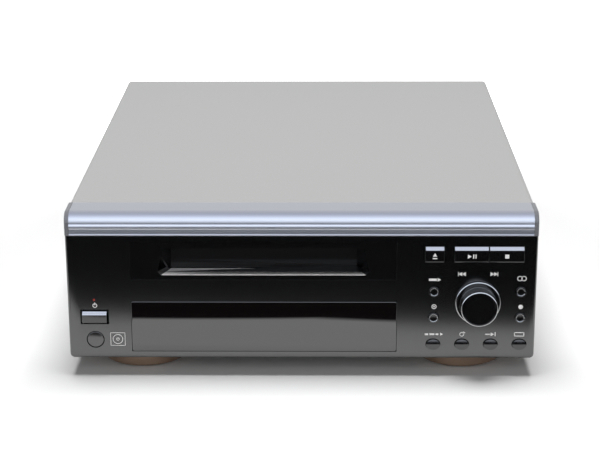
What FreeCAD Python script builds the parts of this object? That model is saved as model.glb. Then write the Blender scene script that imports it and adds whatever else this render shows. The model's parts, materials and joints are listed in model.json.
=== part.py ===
"""Minidisc deck: a half-width hi-fi recorder with a slot for a disc in its case.

Millimetres, +Z up, the front faces -Y and +X is to the right as seen from the front.
The origin is at the middle of the whole footprint, on the surface the feet stand on.
"""
import FreeCAD, Part
import math
import os

Vector = FreeCAD.Vector

# Overall sizes
BODY_W = 210.0          # front panel, side to side
BODY_H = 69.0           # underside of the body to the top of the cover
BODY_D = 255.0          # front face to the cover's rear edge
FOOT_H = 9.0            # underside of the body above the surface
KNOB_PROUD = 9.0        # knob's front above the face
JACK_PROUD = 8.0        # jack barrels behind the cover's rear edge

# Sheet metal case
SHEET = 1.0
COVER_INSET = 0.5       # cover's side inside the front panel's side
COVER_BEND_R = 2.0
SHEET_FIT = 0.1         # between the cover's inside and the chassis
COVER_LIFT = 0.6        # cover's lower edge above the underside
REAR_INSET = 1.0        # rear panel inside the cover's rear edge
FLANGE_H = 15.0         # chassis edge turned up inside the cover
VENT_COUNT = 9
VENT_W = 2.2
VENT_DROP = 8.0             # rear vents' upper end below the top
VENT_L = 22.0
VENT_PITCH = 6.0

# Front panel moulding
PANEL_H = 58.5
PANEL_DEPTH = 15.5
PANEL_WALL = 2.5
PANEL_EDGE_R = 2.0
PANEL_TAB_W = 14.0
PANEL_TAB_L = 12.0
PANEL_TAB_SPACING = 40.0
FIXED_FIT = 0.15        # round a part set into the panel

# Aluminium trim over the panel's top
TRIM_WALL = 1.6
TRIM_PROUD = 0.6
TRIM_ROUND = 5.0
TRIM_GROOVE = 0.5
TRIM_BEAD_H = 2.1
TRIM_BEAD_PROUD = 0.45
TRIM_BEVEL = 0.7
TRIM_GAP = 0.1          # between the trim and each end cap
CAP_T = 2.0
CAP_EDGE_R = 0.8

# Places on the face: x from the middle, z from the underside of the body
FACE_COLUMN = 59.3      # left column of the small buttons
COLUMN_PITCH = 12.93
MECH_X = -16.9          # middle of the slot, its bezel and the disc mechanism

BEZEL_W = 118.9
BEZEL_H = 17.5
BEZEL_Z = 46.35
SLOT_TOP_W = 89.8
SLOT_WIDEST_W = 94.3
SLOT_LIP_W = 91.5
SLOT_TOP_Z = 52.5
SLOT_WIDEST_Z = 41.5
SLOT_LIP_Z = 39.7
THROAT_W = 83.8
THROAT_TOP_Z = 51.5
THROAT_CORNER_Z = 42.1
THROAT_FLOOR_Z = 39.9
THROAT_DEPTH = 8.0
BEZEL_WALL = 1.4

WINDOW_W = 119.4
WINDOW_H = 23.9
WINDOW_Z = 15.25
WINDOW_T = 2.0
WINDOW_LEDGE = 2.5
WINDOW_CORNER_R = 1.0

POWER_X = -93.1
POWER_Z = 19.9
POWER_W = 11.2
POWER_CAP_H = 5.4
POWER_FIT = 0.8
LAMP_Z = 28.0
LAMP_R = 0.5
REMOTE_Z = 9.0
REMOTE_R = 4.05
REMOTE_T = 2.0
REMOTE_LEDGE = 0.8

TRANSPORT_Z = 49.85
TRANSPORT_CAP_H = 7.2
EJECT_W = 8.4
PLAY_X = 75.6
PLAY_W = 15.2
STOP_W = 15.4
PAIR_GAP = 0.3          # between the play and stop caps
ROUND_UPPER_Z = 32.2
ROUND_LOWER_Z = 19.8
ROUND_CAP_R = 2.4
OVAL_Z = 7.0
OVAL_CAP_W = 6.4
OVAL_CAP_H = 4.95

# Button construction
BUTTON_FIT = 0.2        # between a cap and its hole
BUTTON_TRAVEL = 0.5
SWITCH_GAP = 0.05       # left between stem and switch at the end of the travel
BUTTON_FLANGE = 1.2     # flange beyond the cap
BUTTON_FLANGE_T = 1.0
FLANGE_FIT = 0.1        # flange behind the panel wall
STEM_R = 1.4
RECT_PROUD = 1.6
RECT_TOP_BEVEL = 1.5
RECT_FOOT_BEVEL = 0.9
ROUND_PROUD = 0.8
OVAL_PROUD = 1.0
ROUND_CAP_EDGE = 0.5
OVAL_CAP_EDGE = 0.8

# Jog knob and its encoder
KNOB_X = 79.0
KNOB_Z = 26.95
KNOB_R = 8.6
KNOB_FRONT_R = 8.2
KNOB_FLANGE_R = 10.1
KNOB_FLANGE_T = 1.0
KNOB_LIFT = 0.4         # flange in front of the face
KNOB_DISH = 0.5
KNOB_RIM = 0.7
KNOB_SOCKET_DEPTH = 6.0
SHAFT_R = 3.0
SHAFT_FIT = 0.05        # running fit of every shaft
BUSH_WALL = 1.4
ENCODER_W = 12.0
ENCODER_T = 6.0

# Front circuit board
BOARD_T = 1.6
FRONT_BOARD_Y = 11.0    # behind the face
FRONT_BOARD_MARGIN = 3.0
FRONT_BOARD_STEP_Z = 36.0
SWITCH_W = 5.0
SWITCH_T = 3.5
PLUNGER_R = 1.2
PLUNGER_T = 0.6
TUBE_MARGIN_X = 6.0
TUBE_MARGIN_Z = 2.5
TUBE_FRONT_GAP = 1.0
LAMP_BODY_R = 1.6
LAMP_BODY_L = 3.0

# Disc slot door
DOOR_T = 1.0
DOOR_LAP = 1.0          # door beyond the throat at each side
DOOR_GAP = 0.4          # door behind the throat
DOOR_HINGE_R = 1.2
DOOR_EAR_T = 1.5
DOOR_EAR_R = 2.4
SPRING_WIRE = 0.7
SPRING_TURNS = 4
SPRING_PITCH = 1.1
SPRING_FIT = 0.2        # coil's inside above the hinge rod

# Disc, its holder and the loading train
CASE_W = 72.0           # disc in its case
CASE_D = 68.0
HOLDER_FIT = 1.6
HOLDER_SHEET = 0.8
HOLDER_LIP = 7.0
HOLDER_H = 7.6
HOLDER_DROP = 6.0
HOLDER_BACK = 24.0      # holder's front edge behind the face
HEAD_SLOT_W = 16.0
PIN_R = 1.2
PIN_FIT = 0.1
PIN_INSET = 14.0        # lifting pins from the holder's ends
CAM_SIDE_GAP = 0.6
CAM_T = 1.0
CAM_TRAVEL = 12.0
CAM_MARGIN = 2.0
WALL_GAP = 0.6
WALL_T = 1.0
MODULE = 0.8
GEAR_TEETH = 24
PINION_TEETH = 12
GEAR_T = 3.0
TOOTH_PLAY = 0.16
PRESSURE_DEG = 20.0
RACK_BAR_W = 4.0
LOADING_MOTOR_R = 7.5
LOADING_MOTOR_H = 17.0
MOTOR_SHAFT_R = 1.0

# Disc drive
BRACKET_H = 16.0
BRACKET_W = 86.0
BRACKET_D = 96.0
BRACKET_FOOT = 6.0
BRACKET_SCREW_FRONT = 36.0
BRACKET_SCREW_REAR = 8.0
DAMPER_R = 4.5
DAMPER_H = 7.0
BASE_T = 2.0
SPINDLE_MOTOR_R = 9.0
SPINDLE_MOTOR_H = 5.5
TURNTABLE_R = 7.5
TURNTABLE_H = 3.0
SPINDLE_R = 0.75
SPINDLE_GAP = 0.5
SLED_START = 17.0       # lens from the disc's middle at rest
SLED_TRAVEL = 15.5
PICKUP_W = 13.0
PICKUP_D = 34.0
PICKUP_H = 7.0
PICKUP_GAP = 0.8
LENS_R = 2.0
LENS_H = 0.8
SLED_ROD_R = 1.5
SLED_ROD_SPAN = 26.0
LEAD_SCREW_R = 1.2
LEAD_SCREW_Y = 23.0     # behind the disc's middle
SLED_MOTOR_R = 4.0
SLED_MOTOR_L = 15.0
ARM_T = 0.8
ARM_W = 9.0
POST_T = 3.0
POST_RISE = 3.0         # arm above the raised holder
ARM_PIN_R = 1.0

# Power supply and main board
BOARD_STANDOFF = 6.0
BOARD_SIDE_GAP = 6.0    # main board from the chassis side
BOARD_GAP = 12.0        # behind the mechanism
MAIN_BOARD_W = 128.0
MAIN_BOARD_D = 92.0
POWER_BOARD_EDGE = 4.0      # power board from the chassis side
POWER_BOARD_GAP = 4.0       # power board from the winding and the main board
POWER_BOARD_REAR = 2.0      # power board from the inlet
POWER_POST_INSET = 4.0
POWER_POST_R = 2.5
FUSE_R = 3.0
FUSE_L = 20.0
FUSE_INSET = 8.0
CORE_W = 42.0
CORE_D = 34.0
CORE_H = 36.0
CORE_LEG = 11.0
CORE_CLEAR = 9.0        # transformer from the chassis side
WINDING_SWELL = 5.0
HEAT_SINK_L = 44.0
HEAT_SINK_H = 26.0
HEAT_SINK_FINS = 6
HEAT_SINK_T = 2.0
HEAT_SINK_FIN_L = 7.0
HEAT_SINK_INSET_X = 10.0
HEAT_SINK_INSET_Y = 14.0
CAPACITOR_R = 6.5
CAPACITOR_H = 22.0
CAPACITOR_GAP = 3.0
CHIP_T = 2.2
# Each chip: its middle as shares of the board's width and depth, and its side
CHIPS = ((0.22, 0.3, 16.0), (0.5, 0.3, 14.0), (0.5, 0.62, 10.0), (0.74, 0.4, 12.0))
CAPACITORS = 4
BOARD_POST_R = 3.0
BOARD_POST_INSET = 5.0
CAM_FRONT_GAP = 2.0
CAM_BAR_GAP = 2.0
TOOTH_HEAD = 0.9            # tooth heights in modules
TOOTH_ROOT = 1.25
RACK_ROOT = 1.3
FLANK_STEPS = 4
DAMPER_EDGE = 2.0
DAMPER_WAIST_R = 1.4
SPINDLE_OPENING = 6.0
AXLE_FOOT = 2.0
ROD_POST_HALF = 2.5
HUB_H = 1.2
LINK_T = 2.0
ARM_PAD_HALF = 2.5
ARM_PAD_H = 1.2
POST_GAP = 2.0

# Rear connectors
JACK_X = 66.0
JACK_Z = 35.0
JACK_PITCH_X = 14.0
JACK_PITCH_Z = 16.0
JACK_BARREL_R = 4.15
JACK_BORE_R = 1.6
JACK_COLLAR = 1.0       # collar round each barrel and proud of the panel
JACK_INSERT_R = 3.3
JACK_BLOCK_MARGIN = 7.5
JACK_BLOCK_D = 12.0
OPTICAL_X = 26.0
OPTICAL_PITCH = 16.0
OPTICAL_W = 9.8
OPTICAL_H = 10.4
OPTICAL_D = 14.0
OPTICAL_PROUD = 1.5
OPTICAL_SOCKET = 5.4
OPTICAL_SOCKET_DEPTH = 9.0
INLET_X = -78.0
INLET_Z = 26.0
INLET_W = 24.0
INLET_H = 17.0
INLET_D = 18.0
INLET_FLANGE = 3.0
INLET_FLANGE_T = 1.6
INLET_CORNER_R = 2.0
INLET_LOBE_R = 4.2
INLET_LOBE_SPACING = 8.6
INLET_DEPTH = 13.0
INLET_PIN_R = 1.2
INLET_PIN_L = 9.0

# Feet and screws
FOOT_R = 20.0
FOOT_SPACING = 147.0
FOOT_FRONT = 10.0       # front foot's edge behind the face
FOOT_REAR = 14.0        # rear foot's edge inside the cover's rear edge
PAD_T = 1.6
PAD_PROUD = 0.8
PAD_INSET = 2.5
FOOT_WELL_R = 6.0
SCREW_R = 1.5
SCREW_L = 6.0
SCREW_HEAD_R = 2.8
SCREW_HEAD_H = 1.6
SCREW_HOLE_R = 1.7
SIDE_SCREW_Z = 9.0
SIDE_SCREW_MARGIN = 42.0
REAR_SCREW_SPACING = 92.0
SCREW_END = 0.5         # shank left above the sheet it threads into

# Planes worked out from the sizes above
FACE = KNOB_PROUD - (KNOB_PROUD + BODY_D + JACK_PROUD) / 2
REAR = FACE + BODY_D
BASE = FOOT_H
TOP = BASE + BODY_H
SEAM = FACE + PANEL_DEPTH
COVER_X = BODY_W / 2 - COVER_INSET
CHASSIS_X = COVER_X - SHEET - SHEET_FIT
REAR_FACE = REAR - REAR_INSET
REAR_INNER = REAR_FACE - SHEET
FLOOR = BASE + SHEET
PANEL_TOP = BASE + PANEL_H
PANEL_BACK = FACE + PANEL_WALL
BOARD_FRONT = FACE + FRONT_BOARD_Y
EJECT_X = FACE_COLUMN
STOP_X = PLAY_X + (PLAY_W + STOP_W) / 2 + PAIR_GAP
RIGHT_COLUMN = FACE_COLUMN + 3 * COLUMN_PITCH
THROAT_BACK = FACE + THROAT_DEPTH
HINGE_Z = BASE + THROAT_TOP_Z + DOOR_HINGE_R + 0.4
HINGE_Y = THROAT_BACK + DOOR_GAP + DOOR_HINGE_R + SPRING_FIT + SPRING_WIRE

# The raised holder is level with the slot
CASE_Z = BASE + (THROAT_TOP_Z + THROAT_FLOOR_Z) / 2
HOLDER_Z = CASE_Z - HOLDER_H / 2
HOLDER_FRONT = FACE + HOLDER_BACK
HOLDER_REAR = HOLDER_FRONT + CASE_D + HOLDER_FIT
HOLDER_HALF = CASE_W / 2 + HOLDER_FIT / 2 + HOLDER_SHEET
CAM_X = HOLDER_HALF + CAM_SIDE_GAP
WALL_X = CAM_X + CAM_T + WALL_GAP
DISC_Y = HOLDER_FRONT + CASE_D / 2
PINS_Y = [HOLDER_FRONT + PIN_INSET, HOLDER_REAR - PIN_INSET]
PIN_Z = HOLDER_Z + HOLDER_H / 2
BRACKET_TOP = FLOOR + BRACKET_H
BASE_PLATE_Z = BRACKET_TOP + DAMPER_H
BASE_PLATE_TOP = BASE_PLATE_Z + BASE_T
MOTOR_TOP = BASE_PLATE_TOP + SPINDLE_MOTOR_H
TURNTABLE_Z = MOTOR_TOP + SPINDLE_GAP
PICKUP_Z = BASE_PLATE_TOP + PICKUP_GAP
ROD_Z = PICKUP_Z + PICKUP_H / 2
CAM_Z = PIN_Z - HOLDER_DROP - PIN_R - CAM_MARGIN
CAM_H = HOLDER_DROP + 2 * (PIN_R + CAM_MARGIN)
RACK_PITCH_X = MECH_X + WALL_X + WALL_T + 3.0 + RACK_BAR_W
GEAR_R = MODULE * GEAR_TEETH / 2
PINION_R = MODULE * PINION_TEETH / 2
GEAR_X = RACK_PITCH_X + GEAR_R
GEAR_Y = DISC_Y
PINION_X = GEAR_X + GEAR_R + PINION_R
GEAR_Z = CAM_Z + 0.5
MECH_REAR = HOLDER_FRONT + BRACKET_D
FOOT_SEAT = FLOOR + SCREW_END - SCREW_L


def box(x0, x1, y0, y1, z0, z1):
    return Part.makeBox(x1 - x0, y1 - y0, z1 - z0, Vector(x0, y0, z0))


def block(x, y0, y1, z, width, height):
    """A box centred on x and z that runs from y0 to y1."""
    return box(x - width / 2, x + width / 2, y0, y1, z - height / 2, z + height / 2)


def along_x(x0, x1, y, z, radius):
    return Part.makeCylinder(radius, x1 - x0, Vector(x0, y, z), Vector(1, 0, 0))


def along_y(y0, y1, x, z, radius):
    return Part.makeCylinder(radius, y1 - y0, Vector(x, y0, z), Vector(0, 1, 0))


def along_z(z0, z1, x, y, radius):
    return Part.makeCylinder(radius, z1 - z0, Vector(x, y, z0), Vector(0, 0, 1))


def join(shapes):
    return shapes[0].multiFuse(shapes[1:]).removeSplitter()


def edges_by(shape, axis, test):
    """Straight edges parallel to an axis, given as 'x', 'y' or 'z', whose middle passes the test."""
    found = []
    for edge in shape.Edges:
        if len(edge.Vertexes) != 2:
            continue
        run = edge.Vertexes[1].Point - edge.Vertexes[0].Point
        if abs(getattr(run, axis)) > 0.999 * edge.Length and test(edge.CenterOfMass):
            found.append(edge)
    return found


def rounded_block(x, y0, y1, z, width, height, radius):
    body = block(x, y0, y1, z, width, height)
    return body.makeFillet(radius, edges_by(body, "y", lambda point: True))


def oval(y0, y1, x, z, width, height):
    """An ellipse in the face, run from y0 to y1."""
    curve = Part.Ellipse(Vector(x, y0, z), width / 2, height / 2)
    edge = curve.toShape()
    edge.rotate(Vector(x, y0, z), Vector(1, 0, 0), 90)
    return Part.Face(Part.Wire([edge])).extrude(Vector(0, y1 - y0, 0))


def prism(points, sweep):
    corners = [Vector(*point) for point in points]
    return Part.Face(Part.makePolygon(corners + corners[:1])).extrude(Vector(*sweep))


def save(name, *solids):
    shape = solids[0] if len(solids) == 1 else Part.makeCompound(list(solids))
    if not shape.isValid():
        raise ValueError(name + " is not a valid solid")
    shape.exportStep(os.path.join("parts", name + ".step"))


# Screws: one size holds the cover, the rear panel, the feet, the panel and the bracket
def foot_places():
    front = FACE + FOOT_FRONT + FOOT_R
    rear = REAR - FOOT_REAR - FOOT_R
    half = FOOT_SPACING / 2
    return [(x, y) for y in (front, rear) for x in (-half, half)]


def side_screw_places():
    return [FACE + PANEL_DEPTH + SIDE_SCREW_MARGIN, REAR - SIDE_SCREW_MARGIN]


def tab_places():
    return [-PANEL_TAB_SPACING, 0.0, PANEL_TAB_SPACING]


def rear_screw_places():
    return [-REAR_SCREW_SPACING, 0.0, REAR_SCREW_SPACING]


def bracket_screw_places():
    reach = BRACKET_W / 2 + BRACKET_FOOT / 2
    ends = (HOLDER_FRONT + BRACKET_SCREW_FRONT, MECH_REAR - BRACKET_SCREW_REAR)
    return [(MECH_X + side * reach, y) for side in (-1, 1) for y in ends]


def screw(head, way):
    """A pan-head screw: head is the point under its head, way the direction its shank goes."""
    seat = Vector(*head)
    way = Vector(*way)
    cap = Part.makeCylinder(SCREW_HEAD_R, SCREW_HEAD_H, seat, way * -1)
    crown = seat - way * SCREW_HEAD_H
    rim = [edge for edge in cap.Edges if edge.CenterOfMass.distanceToPoint(crown) < 0.01]
    cap = cap.makeFillet(SCREW_HEAD_H * 0.45, rim)
    return cap.fuse(Part.makeCylinder(SCREW_R, SCREW_L, seat, way))


def screws():
    made = []
    for side in (-1, 1):
        for y in side_screw_places():
            made.append(screw((side * COVER_X, y, BASE + SIDE_SCREW_Z), (-side, 0, 0)))
    for x in rear_screw_places():
        made.append(screw((x, REAR_FACE, BASE + SIDE_SCREW_Z), (0, -1, 0)))
    for x, y in foot_places():
        made.append(screw((x, y, FOOT_SEAT), (0, 0, 1)))
    for x in tab_places():
        made.append(screw((x, SEAM + PANEL_TAB_L / 2, BASE), (0, 0, 1)))
    for x, y in bracket_screw_places():
        made.append(screw((x, y, BASE), (0, 0, 1)))
    return made


# Case
def top_cover():
    shell = box(-COVER_X, COVER_X, SEAM, REAR, BASE + COVER_LIFT, TOP)
    shell = shell.makeFillet(COVER_BEND_R, edges_by(shell, "y", lambda point: point.z > TOP - 1))
    inside = box(-COVER_X + SHEET, COVER_X - SHEET, SEAM - 1, REAR + 1, BASE - 1, TOP - SHEET)
    inner_bend = COVER_BEND_R - SHEET
    inside = inside.makeFillet(inner_bend, edges_by(inside, "y", lambda point: point.z > BASE + 1))
    shell = shell.cut(inside)
    for y in side_screw_places():
        shell = shell.cut(along_x(-COVER_X - 1, COVER_X + 1, y, BASE + SIDE_SCREW_Z, SCREW_HOLE_R))
    return shell


def bottom_chassis():
    rear = REAR_INNER
    tray = box(-CHASSIS_X, CHASSIS_X, SEAM, rear, BASE, BASE + FLANGE_H)
    hollow = box(-CHASSIS_X + SHEET, CHASSIS_X - SHEET, SEAM - 1, rear - SHEET, FLOOR, TOP)
    tray = tray.cut(hollow)
    for y in side_screw_places():
        tray = tray.cut(along_x(-CHASSIS_X - 1, CHASSIS_X + 1, y, BASE + SIDE_SCREW_Z, SCREW_R))
    for x in rear_screw_places():
        tray = tray.cut(along_y(rear - 2, rear + 1, x, BASE + SIDE_SCREW_Z, SCREW_R))
    for x, y in foot_places():
        tray = tray.cut(along_z(BASE - 1, FLOOR + 1, x, y, SCREW_R))
    for x in tab_places():
        tray = tray.cut(along_z(BASE - 1, FLOOR + 1, x, SEAM + PANEL_TAB_L / 2, SCREW_HOLE_R))
    for x, y in bracket_screw_places():
        tray = tray.cut(along_z(BASE - 1, FLOOR + 1, x, y, SCREW_HOLE_R))
    start = -VENT_PITCH * (VENT_COUNT - 1) / 2
    for i in range(VENT_COUNT):
        x = start + i * VENT_PITCH
        y = REAR - FOOT_REAR - FOOT_R
        tray = tray.cut(box(x - VENT_W / 2, x + VENT_W / 2, y, y + VENT_L, BASE - 1, FLOOR + 1))
    posts = [along_z(FLOOR, FLOOR + BOARD_STANDOFF, x, y, BOARD_POST_R) for x, y in board_post_places()]
    return join([tray] + posts)


def board_post_places():
    x0, x1, y0, y1 = main_board_area()
    inset = BOARD_POST_INSET
    return [(x, y) for x in (x0 + inset, x1 - inset) for y in (y0 + inset, y1 - inset)]


def main_board_area():
    x1 = CHASSIS_X - SHEET - BOARD_SIDE_GAP
    y0 = MECH_REAR + BOARD_GAP
    return x1 - MAIN_BOARD_W, x1, y0, y0 + MAIN_BOARD_D


def rear_panel():
    panel = box(-CHASSIS_X, CHASSIS_X, REAR_INNER, REAR_FACE, BASE + COVER_LIFT, TOP - SHEET)
    inner_bend = COVER_BEND_R - SHEET + SHEET_FIT
    panel = panel.makeFillet(inner_bend, edges_by(panel, "y", lambda point: point.z > TOP - 2))
    for x in rear_screw_places():
        panel = panel.cut(along_y(REAR_INNER - 1, REAR_FACE + 1, x, BASE + SIDE_SCREW_Z, SCREW_HOLE_R))
    for x, z in jack_places():
        hole_r = JACK_BARREL_R + JACK_COLLAR + FIXED_FIT
        panel = panel.cut(along_y(REAR_INNER - 1, REAR_FACE + 1, x, z, hole_r))
    width = OPTICAL_W + 2 * FIXED_FIT
    height = OPTICAL_H + 2 * FIXED_FIT
    for x in optical_places():
        panel = panel.cut(block(x, REAR_INNER - 1, REAR_FACE + 1, BASE + JACK_Z, width, height))
    width = INLET_W + 2 * FIXED_FIT
    height = INLET_H + 2 * FIXED_FIT
    panel = panel.cut(block(INLET_X, REAR_INNER - 1, REAR_FACE + 1, BASE + INLET_Z, width, height))
    start = INLET_X - VENT_PITCH * (VENT_COUNT - 1) / 2 + INLET_W
    for i in range(VENT_COUNT):
        x = start + i * VENT_PITCH
        top = TOP - VENT_DROP
        vent = box(x - VENT_W / 2, x + VENT_W / 2, REAR_INNER - 1, REAR_FACE + 1, top - VENT_L, top)
        panel = panel.cut(vent)
    return panel


# Front
def trim_outline():
    """Section of the trim in the YZ plane: grooved and beaded outside, plain inside."""
    front = FACE - TRIM_PROUD
    round_z = TOP - TRIM_ROUND
    bead_top = round_z - TRIM_GROOVE
    bead_foot = bead_top - TRIM_BEAD_H
    groove_y = front + TRIM_GROOVE
    outer_mid = TRIM_ROUND * (1 - math.sqrt(0.5))
    bevel_z = PANEL_TOP + TRIM_BEVEL
    foot_y = front + TRIM_BEVEL
    edges = [
        line(SEAM, TOP, front + TRIM_ROUND, TOP),
        arc(front + TRIM_ROUND, TOP, front + outer_mid, TOP - outer_mid, front, round_z),
        line(front, round_z, groove_y, round_z),
        line(groove_y, round_z, groove_y, bead_top),
        arc(groove_y, bead_top, front - TRIM_BEAD_PROUD, bead_top - TRIM_BEAD_H / 2, front, bead_foot),
        line(front, bead_foot, front, bevel_z),
        line(front, bevel_z, foot_y, PANEL_TOP),
    ]
    skin = front + TRIM_WALL
    roof = TOP - TRIM_WALL
    radius = TRIM_ROUND - TRIM_WALL
    mid = radius * (1 - math.sqrt(0.5))
    edges += [
        line(foot_y, PANEL_TOP, skin, PANEL_TOP),
        line(skin, PANEL_TOP, skin, roof - radius),
        arc(skin, roof - radius, skin + mid, roof - mid, skin + radius, roof),
        line(skin + radius, roof, SEAM, roof),
        line(SEAM, roof, SEAM, TOP),
    ]
    return Part.Face(Part.Wire(edges))


def line(y0, z0, y1, z1):
    return Part.LineSegment(Vector(0, y0, z0), Vector(0, y1, z1)).toShape()


def arc(y0, z0, ym, zm, y1, z1):
    return Part.Arc(Vector(0, y0, z0), Vector(0, ym, zm), Vector(0, y1, z1)).toShape()


def front_trim():
    half = BODY_W / 2 - CAP_T - TRIM_GAP
    body = trim_outline().extrude(Vector(2 * half, 0, 0))
    body.translate(Vector(-half, 0, 0))
    return body


def trim_end_cap(side):
    """Plain outline of the trim without its groove, rounded over round the outer face."""
    front = FACE - TRIM_PROUD
    mid = TRIM_ROUND * (1 - math.sqrt(0.5))
    edges = [
        line(SEAM, TOP, front + TRIM_ROUND, TOP),
        arc(front + TRIM_ROUND, TOP, front + mid, TOP - mid, front, TOP - TRIM_ROUND),
        line(front, TOP - TRIM_ROUND, front, PANEL_TOP),
        line(front, PANEL_TOP, SEAM, PANEL_TOP),
        line(SEAM, PANEL_TOP, SEAM, TOP),
    ]
    body = Part.Face(Part.Wire(edges)).extrude(Vector(side * CAP_T, 0, 0))
    body.translate(Vector(side * (BODY_W / 2 - CAP_T), 0, 0))
    outside = side * BODY_W / 2
    rim = [edge for edge in body.Edges if abs(edge.CenterOfMass.x - outside) < 0.01
           and edge.CenterOfMass.z > PANEL_TOP + 0.1 and edge.CenterOfMass.y < SEAM - 0.1]
    return body.makeFillet(CAP_EDGE_R, rim)


def front_panel():
    half = BODY_W / 2
    shell = box(-half, half, FACE, SEAM, BASE, PANEL_TOP)
    corners = edges_by(shell, "z", lambda point: point.y < FACE + 0.1)
    shell = shell.makeFillet(PANEL_EDGE_R, corners)
    wall = PANEL_WALL
    hollow = box(-half + wall, half - wall, PANEL_BACK, SEAM + 1, BASE + wall, PANEL_TOP - wall)
    shell = shell.cut(hollow)
    tab_top = FLOOR + PANEL_WALL
    tabs = []
    for x in tab_places():
        tab = box(x - PANEL_TAB_W / 2, x + PANEL_TAB_W / 2, SEAM - wall, SEAM + PANEL_TAB_L, FLOOR, tab_top)
        tab = tab.cut(along_z(BASE, tab_top + 1, x, SEAM + PANEL_TAB_L / 2, SCREW_R))
        tabs.append(tab)
    ribs = []
    for x in tab_places():
        rib_top = TOP - TRIM_WALL
        ribs.append(box(x - wall / 2, x + wall / 2, FACE + TRIM_ROUND, SEAM - wall, PANEL_TOP, rib_top))
    shell = join([shell] + tabs + ribs)
    for cutter in face_holes():
        shell = shell.cut(cutter)
    return shell


def face_holes():
    """Everything that is cut through the panel's front wall."""
    y0 = FACE - 1
    y1 = PANEL_BACK + 0.5
    fit = 2 * FIXED_FIT
    slack = 2 * BUTTON_FIT
    holes = [block(MECH_X, y0, y1, BASE + BEZEL_Z, BEZEL_W + fit, BEZEL_H + fit)]
    width = WINDOW_W + fit
    height = WINDOW_H + fit
    holes.append(rounded_block(MECH_X, y0, FACE + WINDOW_T, BASE + WINDOW_Z, width, height, WINDOW_CORNER_R))
    ledge = 2 * WINDOW_LEDGE
    holes.append(block(MECH_X, y0, y1, BASE + WINDOW_Z, WINDOW_W - ledge, WINDOW_H - ledge))
    power_h = POWER_CAP_H + 2 * POWER_FIT
    holes.append(block(POWER_X, y0, y1, BASE + POWER_Z, POWER_W + 2 * POWER_FIT, power_h))
    height = TRANSPORT_CAP_H + slack
    holes.append(block(EJECT_X, y0, y1, BASE + TRANSPORT_Z, EJECT_W + slack, height))
    pair_x0 = PLAY_X - PLAY_W / 2 - BUTTON_FIT
    pair_x1 = STOP_X + STOP_W / 2 + BUTTON_FIT
    holes.append(block((pair_x0 + pair_x1) / 2, y0, y1, BASE + TRANSPORT_Z, pair_x1 - pair_x0, height))
    for x, z in round_button_places():
        holes.append(along_y(y0, y1, x, z, ROUND_CAP_R + BUTTON_FIT))
    for x in oval_button_places():
        holes.append(oval(y0, y1, x, BASE + OVAL_Z, OVAL_CAP_W + slack, OVAL_CAP_H + slack))
    holes.append(along_y(y0, y1, KNOB_X, BASE + KNOB_Z, SHAFT_R + BUSH_WALL + BUTTON_FIT))
    holes.append(along_y(y0, y1, POWER_X, BASE + LAMP_Z, LAMP_R))
    holes.append(along_y(y0, FACE + REMOTE_T, POWER_X, BASE + REMOTE_Z, REMOTE_R + FIXED_FIT))
    holes.append(along_y(y0, y1, POWER_X, BASE + REMOTE_Z, REMOTE_R - REMOTE_LEDGE))
    return holes


def slot_front_points():
    return [(-SLOT_TOP_W / 2, SLOT_TOP_Z), (-SLOT_WIDEST_W / 2, SLOT_WIDEST_Z),
            (-SLOT_LIP_W / 2, SLOT_LIP_Z),
            (SLOT_LIP_W / 2, SLOT_LIP_Z), (SLOT_WIDEST_W / 2, SLOT_WIDEST_Z), (SLOT_TOP_W / 2, SLOT_TOP_Z)]


def throat_points():
    half = THROAT_W / 2
    return [(-half, THROAT_TOP_Z), (-half, THROAT_CORNER_Z), (-half, THROAT_FLOOR_Z),
            (half, THROAT_FLOOR_Z), (half, THROAT_CORNER_Z), (half, THROAT_TOP_Z)]


def mouth_wire(points, y):
    corners = [Vector(MECH_X + x, y, BASE + z) for x, z in points]
    return Part.makePolygon(corners + corners[:1])


def slot_bezel():
    plate = block(MECH_X, FACE, PANEL_BACK, BASE + BEZEL_Z, BEZEL_W, BEZEL_H)
    wall = BEZEL_WALL
    low = BASE + SLOT_LIP_Z - wall
    high = BASE + SLOT_TOP_Z + wall
    reach = SLOT_WIDEST_W / 2 + wall
    duct = box(MECH_X - reach, MECH_X + reach, PANEL_BACK, THROAT_BACK, low, high)
    ears = []
    door_half = THROAT_W / 2 + DOOR_LAP
    for side in (-1, 1):
        near = MECH_X + side * (door_half + DOOR_GAP)
        far = near + side * DOOR_EAR_T
        x0, x1 = min(near, far), max(near, far)
        ear = along_x(x0, x1, HINGE_Y, HINGE_Z, DOOR_EAR_R)
        foot = box(x0, x1, THROAT_BACK, HINGE_Y, high - 2 * wall, HINGE_Z + DOOR_EAR_R * 0.7)
        ears.append(ear)
        ears.append(foot)
    body = join([plate, duct] + ears)
    mouth = Part.makeLoft([mouth_wire(slot_front_points(), FACE), mouth_wire(throat_points(), THROAT_BACK)],
                          True, True)
    body = body.cut(mouth)
    reach = door_half + DOOR_GAP + DOOR_EAR_T + 1
    return body.cut(along_x(MECH_X - reach, MECH_X + reach, HINGE_Y, HINGE_Z, DOOR_HINGE_R + SHAFT_FIT))


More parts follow.
